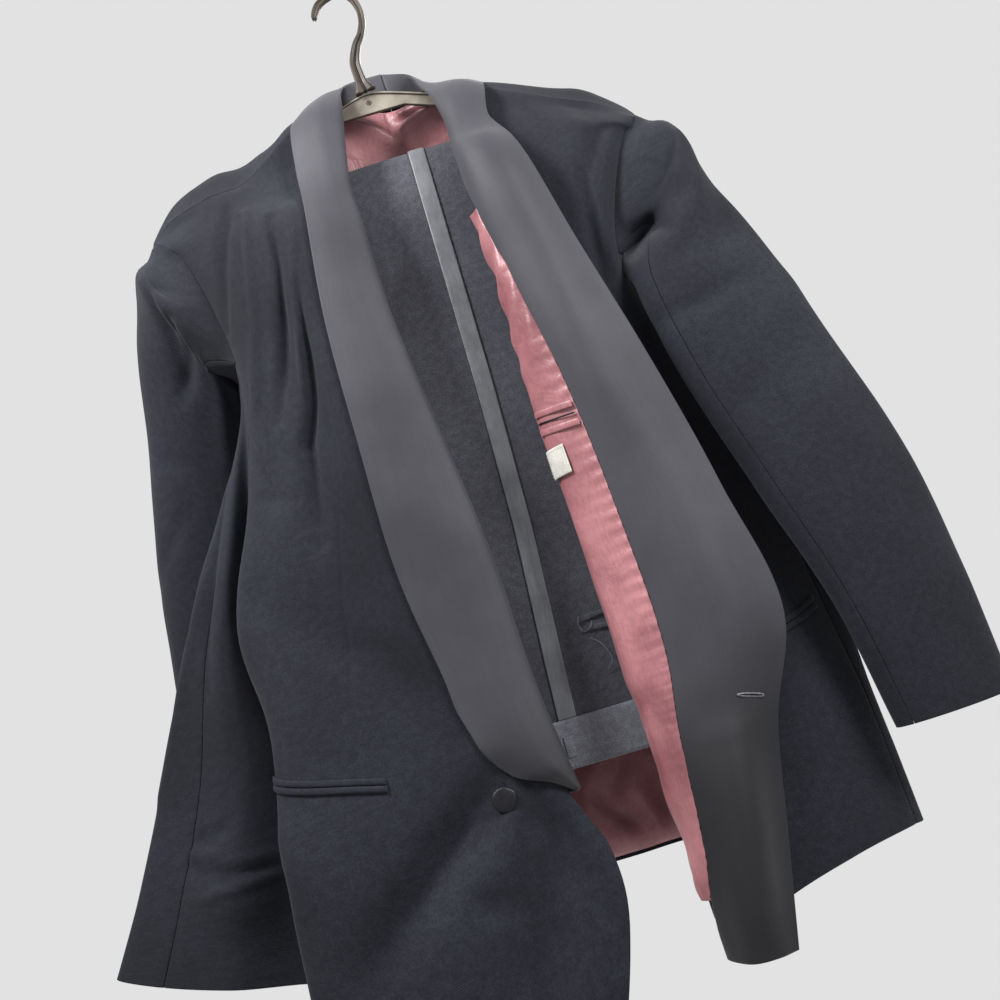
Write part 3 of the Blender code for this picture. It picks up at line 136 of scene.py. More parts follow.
# At the shoulder seams each column of a front meets this place on the back's columns
SHOULDER_RIGHT = (11, 10.9, 10.6, 10.45, 10.2, 10, 9.75, 9.5, 9, 8.5, 8, 7.5, 7)
SHOULDER_LEFT = (16, 15.5, 15, 14.5, 14, 13.75, 13.5, 13.35, 13.2, 13.16, 13.12, 13.09, 13.06, 13.03, 13)
# The right front's cloth stops this far along from the roll of the lapel
UNDER_ROLL = 0.14
# Shares of the way across the left front's outside, its lining strip and its facing
LEFT_OUTSIDE = (0, 0.1, 0.2, 0.32, 0.44, 0.58, 0.72, 0.86)
LEFT_STRIP = (0, 0.18, 0.3, 0.42, 0.54, 0.68, 0.84)
LEFT_FACING = (0, 0.2, 0.4, 0.6, 0.8, 1)

# Folds, and finer creases: half-width and height in cm, then line and level of each point of the path.
# A trough's height is below 0.
BODY_FOLDS = (
    (1.5, 0.7, 0.9, 7.3, 1.55, 8.5), (1.2, -0.5, 0.5, 7.4, 1, 8.7), (1.6, 0.6, 0.1, 7.7, 0.35, 8.9),
    (1.5, -0.45, 2.5, 1.6, 2.9, 4.2), (1.3, -0.35, 2.1, 1.8, 2.3, 4.4), (1.4, -0.3, 1.6, 1.7, 1.7, 4),
    (1.3, 0.35, 18.9, 1.3, 19.1, 2.6), (1.5, -0.45, 10.4, 0.6, 10.45, 1.25), (1.8, 0.5, 6.3, 6.9, 5.6, 8),
    (2.4, -0.5, 10.4, 1.9, 10.9, 4.2), (2.4, -0.5, 13.5, 2.1, 13.2, 4.4), (3, 0.6, 9.6, 6.2, 9.9, 8.8),
    (2.6, 0.5, 14.4, 6.3, 14.5, 8.8),
)
BODY_CREASES = (
    (0.55, -0.62, 2.64, 1, 2.98, 2.12, 3.29, 2.47, 3.7, 2.76),
    (0.6, -0.75, 1.77, 2, 1.89, 2.49, 2.11, 2.89, 2.34, 3.26, 2.65, 3.61),
    (0.6, -0.75, 1.53, 2.7, 1.73, 3.23, 1.95, 3.58, 2.24, 3.87, 2.27, 4.27, 2.23, 4.6),
    (0.6, 0.4, 1.38, 2.3, 1.72, 2.93, 2.05, 3.38, 2.41, 3.8),
    (0.7, 0.45, 2.3, 1.4, 2.54, 2.4, 2.69, 2.87, 3.1, 3.4),
    (0.5, -0.35, 3.83, 3.64, 3.27, 3.91, 2.91, 4.16), (0.5, -0.15, 3.47, 4.11, 2.49, 4.24),
    (1.7, -0.55, 2.99, 4.8, 2.52, 5.1, 2.11, 5.34, 1.71, 5.48, 1.42, 5.71, 1.19, 6.12),
    (2.2, 0.4, 2.7, 5.5, 2.3, 5.75, 1.9, 6.1),
    (1.35, -1.2, 0.85, 6.72, 1.2, 7, 1.5, 7.3, 1.9, 7.75, 2.3, 8.3),
    (1.2, 0.5, 1.1, 7.25, 1.45, 7.65, 1.7, 8.2), (1.1, 0.35, 0.99, 7.34, 0.94, 7.77, 0.97, 8.6),
    (1.6, -1.3, 22.9, 7, 22.85, 7.6, 22.7, 8.3, 22.5, 8.9), (1.6, -0.5, 5.1, 7.3, 5.5, 7.8, 5.55, 8.8),
    (1, -0.45, 1, 6.92, 1.35, 7.25, 1.84, 7.78), (0.8, 0.3, 0.72, 6.98, 0.98, 7.42, 1.3, 7.64),
    (0.7, -0.45, 1.32, 7.72, 0.98, 7.86),
    (0.95, -1.2, 0.56, 6.95, 0.42, 7.36, 0.41, 7.67, 0.28, 8.03, 0.14, 8.3),
    (0.7, 0.3, 0.62, 7.4, 0.52, 7.9, 0.3, 8.2),
    (1, 0.5, 7.8, 3.2, 7.95, 3.7, 8, 4.2, 7.7, 4.6, 7.9, 5.3, 8, 5.9),
    (0.8, -0.35, 7.1, 3.3, 7.3, 4, 7, 4.6, 6.8, 5.3), (1.1, -0.9, 4.7, 4.3, 4.85, 5.2, 4.9, 6, 4.8, 7),
    (0.16, -0.1, 5.78, 4.5, 5.53, 5, 5.55, 5.5),
    (0.3, -0.16, 6.01, 4.9, 6.05, 5.39, 6.03, 5.79, 6.13, 6.14, 6.23, 6.4),
    (0.45, -0.3, 7, 6.42, 6.57, 6.44, 6.22, 6.36), (0.4, 0.28, 7.03, 6.5, 6.4, 6.66, 5.5, 6.8),
    (0.45, -0.3, 6.9, 6.62, 6.2, 6.86, 5.5, 6.9), (0.6, 0.3, 6.59, 7.05, 5.95, 7.02, 5.5, 6.96),
    (1.2, -0.3, 6.4, 7.3, 6.2, 8.2, 6.3, 8.9), (1.2, -0.25, 3, 6.9, 3.6, 7.9),
    (1.6, 0.4, 2.9, 6.7, 2.4, 7.6, 2.5, 8.6), (0.7, 0.3, 18.88, 0.62, 18.6, 2.76),
    (0.9, -0.35, 18.3, 1.4, 18.9, 2.7, 19.2, 3.6), (0.8, -0.25, 19.5, 0.5, 19.4, 1.6),
    (0.6, -0.15, 18.4, 3.6, 19.3, 3.9), (1, -0.3, 8, 2.5, 8.7, 3.1, 9.5, 3.5),
    (0.7, -0.2, 8.1, 3.4, 8.9, 3.6, 9.8, 3.7), (1, -0.3, 15.6, 2.5, 15, 3.2, 14.2, 3.6),
    (0.7, -0.2, 15.5, 3.5, 14.8, 3.75, 14, 3.8), (0.8, -0.18, 11.2, 0.9, 12.9, 1),
    (0.9, -0.2, 10.2, 3.8, 11.4, 4.2, 13.2, 4.1), (1.6, -0.3, 10.8, 4.6, 11.4, 6.4, 11.3, 8),
    (1.6, -0.3, 13.5, 4.8, 13.6, 6.6, 13.8, 8.6), (1.4, 0.25, 9, 5.5, 9.2, 7, 9.1, 8.6),
)
DART = (1.93, 4.41, 2.04, 5.03, 1.99, 6.3)
DART_SEAM = (0.16, -0.09)
# Ripples: seed, cell across and down in metres, height in metres. BODY_CALM gives their share at each line.
BODY_RIPPLES = ((1, 0.045, 0.14, 0.0011), (2, 0.021, 0.034, 0.0003), (3, 0.1, 0.22, 0.0014))
BODY_CALM = ((0, 1, 1.6, 18, 20.5, 21.2, 24), (0.4, 0.4, 1, 1, 0.8, 0.4, 0.4))
# Seams: line, first and last level, and depth of their groove and puckers
BODY_SEAMS = ((4, 3, 9, 1), (7, 3, 9, 0.7), (12, 0, 9, 1), (16, 3, 9, 1), (18, 3, 9, 0.8))

# Shawl collar, from the centre back to the front of the shoulder. Each row crosses it, x, y, z in cm:
# inside, turn, roll, high, middle, outer on the right; outer, middle, high, roll, inside on the left
COLLAR_RIGHT = (
    ((2.25, 3.9, -10.8), (2.25, 3.5, -9), (2.25, 3.7, -7.35), (2.25, 4.8, -7.9), (2.25, 5.7, -9.9),
     (2.25, 6.3, -12)),
    ((-1.4, 3.5, -10.9), (-1, 3, -9.3), (-0.9, 3.1, -7.72), (-1.7, 4.3, -8.3), (-2.6, 5.2, -10),
     (-3.5, 5.8, -12.2)),
    ((-3.5, 0.5, -10.8), (-2.7, 0.2, -10.7), (-1.9, 0.1, -10.2), (-3, 0.9, -9.4), (-4.7, 2.1, -9.7),
     (-6.5, 3.2, -10.85)),
    ((-3.9, -1.1, -14.4), (-3, -1.6, -14.2), (-2.2, -2.2, -13.6), (-3.7, -2.7, -12.8),
     (-5.5, -2.5, -12.7), (-7.4, -2.1, -13.6)),
    ((-5, -2.5, -19.6), (-3.5, -3.2, -19.5), (-2.9, -4.2, -19.2), (-4.3, -4.9, -19),
     (-6.2, -4.7, -19.1), (-7.9, -4.2, -19.5)),
)
COLLAR_LEFT = (
    ((2.35, 6.3, -12), (2.35, 5.7, -9.9), (2.35, 4.8, -7.7), (2.35, 3.7, -7.08), (2.35, 3.9, -10.8)),
    ((7.5, 5.6, -12.7), (6.7, 5.1, -10.8), (5.9, 4.2, -9.3), (4.8, 3, -8.4), (5.3, 3.5, -10.9)),
    ((10.9, 2.8, -12.5), (8.9, 1.9, -11.75), (7.1, 1.1, -11.5), (5.6, 0.5, -12), (6.7, 0.7, -12.15)),
    ((11.4, -2.3, -15.3), (9.9, -2.9, -15), (8.2, -3, -15.1), (6.5, -2.6, -15.8), (7.1, -1.8, -16.6)),
)
# Below the collar the left lapel comes down to its front by this level: levels, then metres
COLLAR_LIFT = ((1, 1.5, 2, 2.5), (0.002, 0.0015, 0.0006, 0))
# How far the right lapel reaches from the front edge (0) to the lapel line (1), as its end rounds off
LAPEL_END = ((2, 1), (3, 1), (4, 1), (5, 1), (6, 1), (6.45, 0.9), (6.66, 0.78), (6.86, 0.52), (7, 0.26))
# Its high, middle and outer rows: share of the reach, lift off the front, and how much more it puffs, metres
LAPEL_ROWS = ((0.27, 0.0032, 0.0034), (0.62, 0.0034, 0.003), (1, 0.0034, 0))
# Its roll, turn and inside: metres in from the front edge, and out
LAPEL_EDGE = ((0, 0.0005), (0.0018, -0.0062), (0.021, -0.0085))
LAPEL_ACROSS = (0, 0.5, 1, 1.4, 1.7, 2, 2.3, 2.6, 3, 3.5, 4, 4.5, 5)
LAPEL_RIPPLES = ((71, 0.05, 0.12, 0.0005),)
# Where the left facing starts on the net at each level, once it has come round the turn from the collar
FACING_START = (
    (1, 20.9), (2, 20.85), (2.5, 21.55), (3, 22), (7, 22), (7.5, 21.9), (8, 21.7), (8.4, 21.35),
    (8.75, 21.1), (9, 21.05),
)
TURN_LINE = 20.45
TURN_GAP = 0.4

# Sleeves: sections from the shoulder to the cuff, outer and inner ends (x, y, z) and half the depth, cm
SLEEVE_RIGHT = (
    ((-25.1, 0.9, -21.9), (-20.3, 0.8, -34.8), 4.8), ((-27.6, 2.2, -27.5), (-19.9, 4.4, -37.6), 4.8),
    ((-29.6, 4.2, -38.5), (-19.2, 6.8, -43), 4.2), ((-31.7, 5.6, -50), (-19.5, 7.4, -51), 3.6),
    ((-32.9, 6.4, -61), (-21.2, 7.6, -61.5), 3.3), ((-33.5, 7, -72), (-22, 7.8, -72), 3),
    ((-34, 7.2, -81.5), (-23, 8, -81.5), 2.8),
)
SLEEVE_LEFT = (
    ((26.2, 0.2, -23.2), (20.9, -0.7, -34.9), 4.6), ((28.1, -0.9, -29.6), (19.4, -4.4, -37.4), 3.8),
    ((31.1, -2, -38.5), (18.5, -6.2, -40.6), 3), ((34.2, -2.4, -50), (19.7, -6.7, -50), 2.6),
    ((36.7, -2.8, -60.5), (22.4, -6.7, -60.5), 2.5), ((37.6, -3.1, -72), (25.6, -6.1, -72), 2.5),
    ((37.7, -3.3, -82.3), (27.3, -5.3, -82.7), 2.7),
)
SLEEVE_COLUMNS = 16
SLEEVE_LAST = 7
SLEEVE_FRONT_SEAM = 9.3
SLEEVE_BACK_SEAM = 5.3
HEAD_FADE = 0.3
SLEEVE_LEFT_FOLDS = (
    (0.9, -0.9, 3, 1.2, 5.4, 0.9), (1.6, 0.5, 2.2, 1.7, 4.2, 2.3), (1.5, -0.4, 1.2, 2.2, 3.9, 3),
    (1.8, 0.35, 1.5, 3.4, 4.4, 3.9), (1.8, -0.5, 11, 3.2, 13.5, 3.6),
)
SLEEVE_RIGHT_FOLDS = (
    (1, -0.9, 15.2, 0.35, 12.2, 0.8), (1, -0.6, 13, 1, 12.4, 2.4), (1.8, -0.5, 3, 3, 5.5, 3.5),
)
SLEEVE_LEFT_CREASES = (
    (0.6, -0.3, 5.6, 0.05, 6.3, 0.35, 7, 0.74), (0.8, -0.55, 6.8, 0.5, 6.3, 1.5, 5.4, 2.3),
    (0.8, -0.35, 4.4, 0.6, 3.2, 0.9, 1.8, 1.2), (1, 0.3, 4.6, 1.4, 3.4, 1.9),
    (1.6, 0.9, 8.4, 0.9, 9.2, 1.7, 9, 2.6), (1.2, -0.3, 4.5, 2.6, 5.2, 3),
    (1, -0.25, 3.2, 3.3, 5.5, 3.45, 8, 3.5), (1.2, -0.2, 5.2, 4.2, 6, 4.5), (0.9, -0.2, 2, 0.9, 4.6, 0.7),
    (0.8, -0.25, 10.5, 2.9, 13, 3.3), (0.7, -0.2, 10.8, 3.9, 13.4, 3.7),
)
SLEEVE_RIGHT_CREASES = (
    (0.7, -0.25, 1.5, 0.5, 2.1, 0.85), (0.7, -0.5, 15.6, 0.75, 14.6, 0.95, 13.2, 0.9, 12.3, 0.6),
    (0.5, 0.3, 15.8, 0.3, 14.6, 0.45, 13.4, 0.42),
    (0.7, -0.5, 11.4, 0.9, 11.8, 1.6, 12.1, 2.2, 12.9, 2.6), (0.9, 0.4, 10.6, 1.4, 10.9, 2.3, 11.3, 3.2),
    (0.8, -0.3, 14.33, 3.13, 13.3, 3.25), (0.9, -0.2, 15, 3.5, 13.6, 3.9),
    (2, 1.1, 8.6, 1, 8.9, 1.8, 9, 2.6), (0.8, -0.25, 2.5, 2.6, 5, 2.9), (0.7, -0.2, 2.8, 3.5, 5.2, 3.3),
    (0.9, -0.15, 13, 3.6, 15.5, 4.2),
)
SLEEVE_RIPPLES = ((11, 0.05, 0.13, 0.0012), (12, 0.022, 0.036, 0.0003))

# Trousers: the outer leg's path from the waist up over the bar and down behind: left x, right x, y, z in cm
LEG_PATH = (
    (-11, 11.4, -3.35, -74.6), (-11.4, 14.2, -3.3, -68), (-10.8, 15.4, -3.05, -56), (-10, 15, -2.7, -42),
    (-9.3, 14.6, -2, -30), (-9, 14.4, -1.15, -20.6), (-9, 14.4, -0.7, -19.25), (-9, 14.4, 0.3, -18.75),
    (-9, 14.4, 1.3, -19.25), (-9, 14.4, 1.75, -20.6), (-8.9, 14.3, 2.1, -31), (-8.8, 14, 2.5, -46),
    (-8.6, 13.6, 2.8, -62),
)
LEG_RAILS = 5
LEG_CREASES = (
    (0.8, -0.12, 0.9, 3.4, 1.6, 4.3), (0.9, -0.15, 3, 0.9, 3.3, 2.2), (0.7, -0.1, 2.4, 0.2, 2.6, 1.2),
    (1.2, -0.15, 3.4, 2.8, 3.2, 4.4), (1.2, -0.2, 0.6, 9.4, 1.4, 10.8), (1.2, -0.2, 3.1, 9.6, 2.7, 11.2),
)
LEG_RIPPLES = ((21, 0.05, 0.17, 0.0008), (22, 0.022, 0.04, 0.00025))
INNER_LEG_SHIFT = 0.0034
# The stripe's left edge, cm: heights, then x
STRIPE_LEFT = ((-74.6, -70, -57.5, -44, -20), (1.05, 1.3, 2.1, 2.45, 2.6))
STRIPE_WIDTH = 1.55
WAISTBAND_Z = (-74.66, -78.6)
WAISTBAND_X = (-11.1, 11.5)
WAISTBAND_Y = (-3.5, -1.9)
WAISTBAND_COLUMNS = 20
WAISTBAND_ROUNDNESS = 0.75
WAISTBAND_FLATNESS = 0.22
TAB_X = (1.75, 1)
TAB_Z = (-76, -77.7)
# Hip pocket: the ends' x, then each jet's z there
HIP_POCKET_X = (5, 12.5)
HIP_POCKET_Z = {"upper": (-66.95, -66.4), "lower": (-67.75, -68.4)}
HIP_JET_HALF = 0.22

# Jacket pockets: the lines and the heights of their ends, and half the height of a jet, cm
POCKETS = {"pocket_right": ((1.79, 3.08), (-75.65, -72.95)), "pocket_left": ((20, 18.2), (-73.9, -71))}
JET_HALF = 0.24
JET_APART = {"upper": 0.29, "lower": -0.29}
JET_STEPS = 9

BUTTON_X = -4.6
BUTTON_Z = -79.2
BUTTON_RADIUS = 0.01
BUTTON_THICK = 0.0045
BUTTON_STAND = 0.0012
# The button's side view: shares of its thickness and of its radius
BUTTON_PROFILE = ((0, 0.02), (0, 0.45), (0.1, 0.86), (0.36, 0.985), (0.6, 0.99), (0.82, 0.86), (0.93, 0.6),
                  (1, 0.3), (1.01, 0.02))
# The loose end of the button's thread: metres up, across and out from its seat
SHANK_TAIL = ((0.006, 0, 0.0012), (0.011, 0.001, 0.0016), (0.016, -0.001, 0.001), (0.0185, 0.0015, 0.0006))
BUTTONHOLE = ((23.15, 6.61), (23.64, 6.68))
BUTTONHOLE_LENGTH = 0.023
BUTTONHOLE_HALF = 0.0016

# Inside the left front: height off the front, metres, then lines and levels of the ends
INNER_AWAY = -(WOOL + LINING + 2 * PLY_GAP)
WELT_LINES = (20.95, 21.95)
WELTS = {"upper": (4.1, 4.14), "lower": (4.24, 4.28)}
WELT_HEIGHT = 0.045
LABEL_LINES = (20.92, 21.42)
LABEL_TOP = 4.4
LABEL_HEIGHT = 0.21
# Loose thread at the hip pocket: points (x, out of the cloth, z) in cm
POCKET_THREADS = (
    ((5.2, 0.25, -66.6), (5, 0.45, -67.3), (5.3, 0.5, -68), (5.9, 0.35, -67.8), (6.2, 0.2, -67.3)),
    ((5.6, 0.2, -68.6), (6.4, 0.4, -69.4), (6.9, 0.4, -70.8), (6.3, 0.2, -71.6)),
)

# Hanger, cm. The hook's path is (x, z). Its half-width is given at the numbers of the path's points.
HOOK_PATH = (
    (0.36, -11.07), (0.24, -10.2), (0.14, -9.2), (0.14, -7.7), (0.74, -6), (1.4, -5), (1.86, -3.9),
    (2.02, -2.9), (1.98, -1.9), (1.62, -0.75), (0.95, 0.05), (0, 0.32), (-1.05, 0.05), (-1.85, -0.45),
    (-2.3, -1.1), (-2.6, -1.8),
)
HOOK_HALF_WIDTH = (
    (0, 1.05), (1, 0.62), (2, 0.54), (3, 0.52), (4, 0.42), (5, 0.34), (14, 0.32), (15, 0.27),
)
HOOK_HALF_DEPTH = 0.32
# Half the hook's section: shares of the half-width and half-depth
HOOK_SECTION = ((1, 0), (0.99, 0.55), (0.93, 0.86), (0.8, 1), (0.66, 1), (0.48, 0.8), (0.26, 0.5), (0, 0.42))
HOOK_STEM = 5.2
HUB_X = 0.45
HUB_BOTTOM = -13.3
ARM_LENGTH = 19.4
ARM_SLOPE = 0.385
ARM_TOP = -11.1
ARM_ROUNDING = 1.2
ARM_HEIGHT = 1.35
ARM_DEPTH = 0.6
ARM_WEB = 0.42
ARM_FLANGE = 0.22
ARM_Y = (0.5, 0.55)
STUD = (0.35, -12.15)
STUD_RADIUS = 0.22
BAR_RADIUS = 0.45
BAR_SEAM = 0.03
BAR_SIDES = 28
BAR_Z = -19.86
BAR_Y = 0.3
BAR_REACH = 19.2
BAR_SEAT = 0.05
# The bar's turned-up end: centimetres in from its end, and share of the way up to the arm
BAR_END = ((0, 1), (0.15, 0.45), (0.8, 0), (4, 0), (10, 0))

CAMERA_PLACE = (0.01615, -1.01727, -0.75854)
CAMERA_RISE = 12
CAMERA_ROLL = 16.5
CAMERA_LENS = 41.4
WORLD_LIGHT = 0.76
# Lamps: place, point aimed at, size in metres, watts
LIGHTS = {
    "key": ((-0.72, -0.62, 0.5), (0, 0, -0.45), 0.4, 38),
    "fill": ((0.98, -0.78, 0.1), (0.15, 0, -0.5), 0.5, 24),
    "back": ((0.5, 1.5, 0.8), (0, 0, -0.5), 1, 22),
}
FLOOR_RADIUS = 1.6
FLOOR_Z = -1.75

# Cloths: darkest and lightest colour, roughness, sheen, period in metres and angle of the weave, speckle,
# depth of the weave, scale of the mottling, specular level, stretch of the threads, and the painted shade
# below some height: two heights in metres and the share of the colour kept below the lower one
CLOTHS = {
    "wool": ((0.0085, 0.009, 0.0125), (0.0135, 0.0145, 0.02), 0.88, 0.05, 0.0011, 62, 0.26, 0.9, 7, 0.1),
    # painted shade: the satin darkens from z -0.68 m down to -0.82 m, keeping 0.3 of its colour, as if the
    # lower left facing lay in shadow
    "satin": ((0.027, 0.0262, 0.0325), (0.041, 0.04, 0.048), 0.6, 0.08, 0.0008, 0, 0.04, 0.08, 8, 0.16, 0.05,
              (-0.68, -0.82, 0.3)),
    # the button's own dark satin, also used for the painted shade of the slits
    "button_satin_and_slit_shade": ((0.005, 0.005, 0.007), (0.008, 0.008, 0.011), 0.34, 0, 0.0006, 0, 0.08, 0.3, 40, 0.16),
    "trouser_wool": ((0.04, 0.0405, 0.05), (0.057, 0.058, 0.07), 0.88, 0.05, 0.0012, 58, 0.28, 0.9, 7, 0.12),
    # painted light: the waistband's wool is the trousers' cloth made about three times lighter, as if lit
    "band_wool_painted_light": ((0.12, 0.122, 0.143), (0.155, 0.157, 0.182), 0.88, 0.05, 0.0012, 58, 0.24, 0.9, 12, 0.12),
    "stripe_satin": ((0.075, 0.077, 0.086), (0.11, 0.113, 0.124), 0.42, 0.1, 0.0009, 90, 0.12, 0.5, 26, 0.4,
                     0.1),
    "thread": ((0.09, 0.092, 0.1), (0.14, 0.142, 0.15), 0.7, 0.1, 0.0005, 30, 0.2, 0.6, 60, 0.3),
    "label": ((0.34, 0.33, 0.29), (0.46, 0.45, 0.41), 0.7, 0.2, 0.0007, 0, 0.1, 0.8, 60, 0.3),
}
LINING_LOOK = ((0.155, 0.052, 0.06), (0.3, 0.125, 0.136), 0.4, 0.34)
# Plastics: darkest and lightest colour, specular level
PLASTICS = {
    "hanger_plastic": ((0.095, 0.083, 0.066), (0.185, 0.165, 0.137), 0.35),
    "hook_plastic": ((0.03, 0.024, 0.018), (0.062, 0.051, 0.04), 0.16),
    # painted shade: a near-black plastic for the hook's channel and under the arm's flange; the stud takes it
    # too
    "painted_shade_plastic": ((0.01, 0.008, 0.006), (0.02, 0.015, 0.012), 0.06),
}
# Pieces whose own material differs a little from their slot's. Several paint light or shade: the waistband's
# lighter wool stands in for light on it, the slits' dark satin paints the shade in their openings, and the
# dark plastic paints the shade in the hook's channel and under the arm's flange
LOOKS = {
    "button": "button_satin_and_slit_shade", "button_shank": "button_satin_and_slit_shade", "buttonhole": "thread",
    "buttonhole_slit": "button_satin_and_slit_shade", "pocket_slit": "button_satin_and_slit_shade", "pocket_threads": "thread",
    "waistband": "band_wool_painted_light", "waistband_tab": "band_wool_painted_light", "hanger_hook": "hook_plastic",
    "hook_groove": "painted_shade_plastic", "arm_line": "painted_shade_plastic", "hanger_stud": "painted_shade_plastic",
}


# ---------------------------------------------------------------- curves and nets


def unit(way):
    return way / np.maximum(np.linalg.norm(way, axis=-1, keepdims=True), 1e-12)


def summed(steps):
    return np.concatenate([[0], np.cumsum(steps)])


def run(points):
    """Distance along a row of points."""
    return summed(np.linalg.norm(np.diff(points, axis=0), axis=1))


def read(at, knots, points):
    """Points of a row with these knots, read at any places."""
    return np.stack([np.interp(at, knots, column) for column in points.T], axis=1)


def spans(knots, at):
    """For each place the knot below it, the step to the next knot, and the share of that step."""
    low = np.clip(np.searchsorted(knots, at, side="right") - 1, 0, len(knots) - 2)
    step = knots[low + 1] - knots[low]
    return low, step, (at - knots[low]) / step


def hermite(start, end, lead, tail, u):
    """Between two knots, from the values and slopes there."""
    return (start * (2 * u**3 - 3 * u**2 + 1) + lead * (u**3 - 2 * u**2 + u)
            + end * (3 * u**2 - 2 * u**3) + tail * (u**3 - u**2))


def smooth(knots, values, at):
    """Values given at knots, read at any places on the smooth curve through them."""
    slopes = np.gradient(values, knots, axis=0)
    low, step, u = spans(knots, at)
    shape = (-1,) + (1,) * (values.ndim - 1)
    u, step = u.reshape(shape), step.reshape(shape)
    return hermite(values[low], values[low + 1], slopes[low] * step, slopes[low + 1] * step, u)


def curve_through(knots, count):
    """Evenly spread points on a smooth curve through a few."""
    knots = np.array(knots, float)
    return smooth(np.arange(len(knots), dtype=float), knots, np.linspace(0, len(knots) - 1, count))


def place_on(knots, index):
    """A place counted in lines, such as 2.5, as a distance along the knots."""
    low = np.clip(np.floor(index).astype(int), 0, len(knots) - 2)
    return knots[low] + (index - low) * (knots[low + 1] - knots[low])


def noise(seed, across, down, wrap=NOISE_CELLS):
    """Smooth noise between -1 and 1, read at places counted in cells. It repeats every `wrap` cells."""
    table = np.random.default_rng(seed).uniform(-1, 1, (NOISE_CELLS, NOISE_CELLS))
    low_a, low_d = np.floor(across).astype(int), np.floor(down).astype(int)
    share_a, share_d = across - low_a, down - low_d
    share_a, share_d = share_a**2 * (3 - 2 * share_a), share_d**2 * (3 - 2 * share_d)
    first, second = np.mod(low_a, wrap) % NOISE_CELLS, np.mod(low_a + 1, wrap) % NOISE_CELLS
    top, bottom = np.mod(low_d, NOISE_CELLS), np.mod(low_d + 1, NOISE_CELLS)
    upper = table[first, top] * (1 - share_a) + table[second, top] * share_a
    lower = table[first, bottom] * (1 - share_a) + table[second, bottom] * share_a
    return upper * (1 - share_d) + lower * share_d


def bell(away, width):
    return np.exp(-((away / width) ** 2))


def near_path(places, path):
    """Distance of places on the flat cloth to a path, and the share of the way along it."""
    lengths = np.linalg.norm(np.diff(path, axis=0), axis=1)
    before = summed(lengths)
    best, share = np.full(len(places), 1e9), np.zeros(len(places))
    for step, length in enumerate(lengths):
        along = (path[step + 1] - path[step]) / length
        away = places - path[step]
        reach = np.clip(away @ along, 0, length)
        gap = np.linalg.norm(away - reach[:, None] * along, axis=1)
        closer = gap < best
        best[closer] = gap[closer]
        share[closer] = (before[step] + reach[closer]) / before[-1]
    return best, share


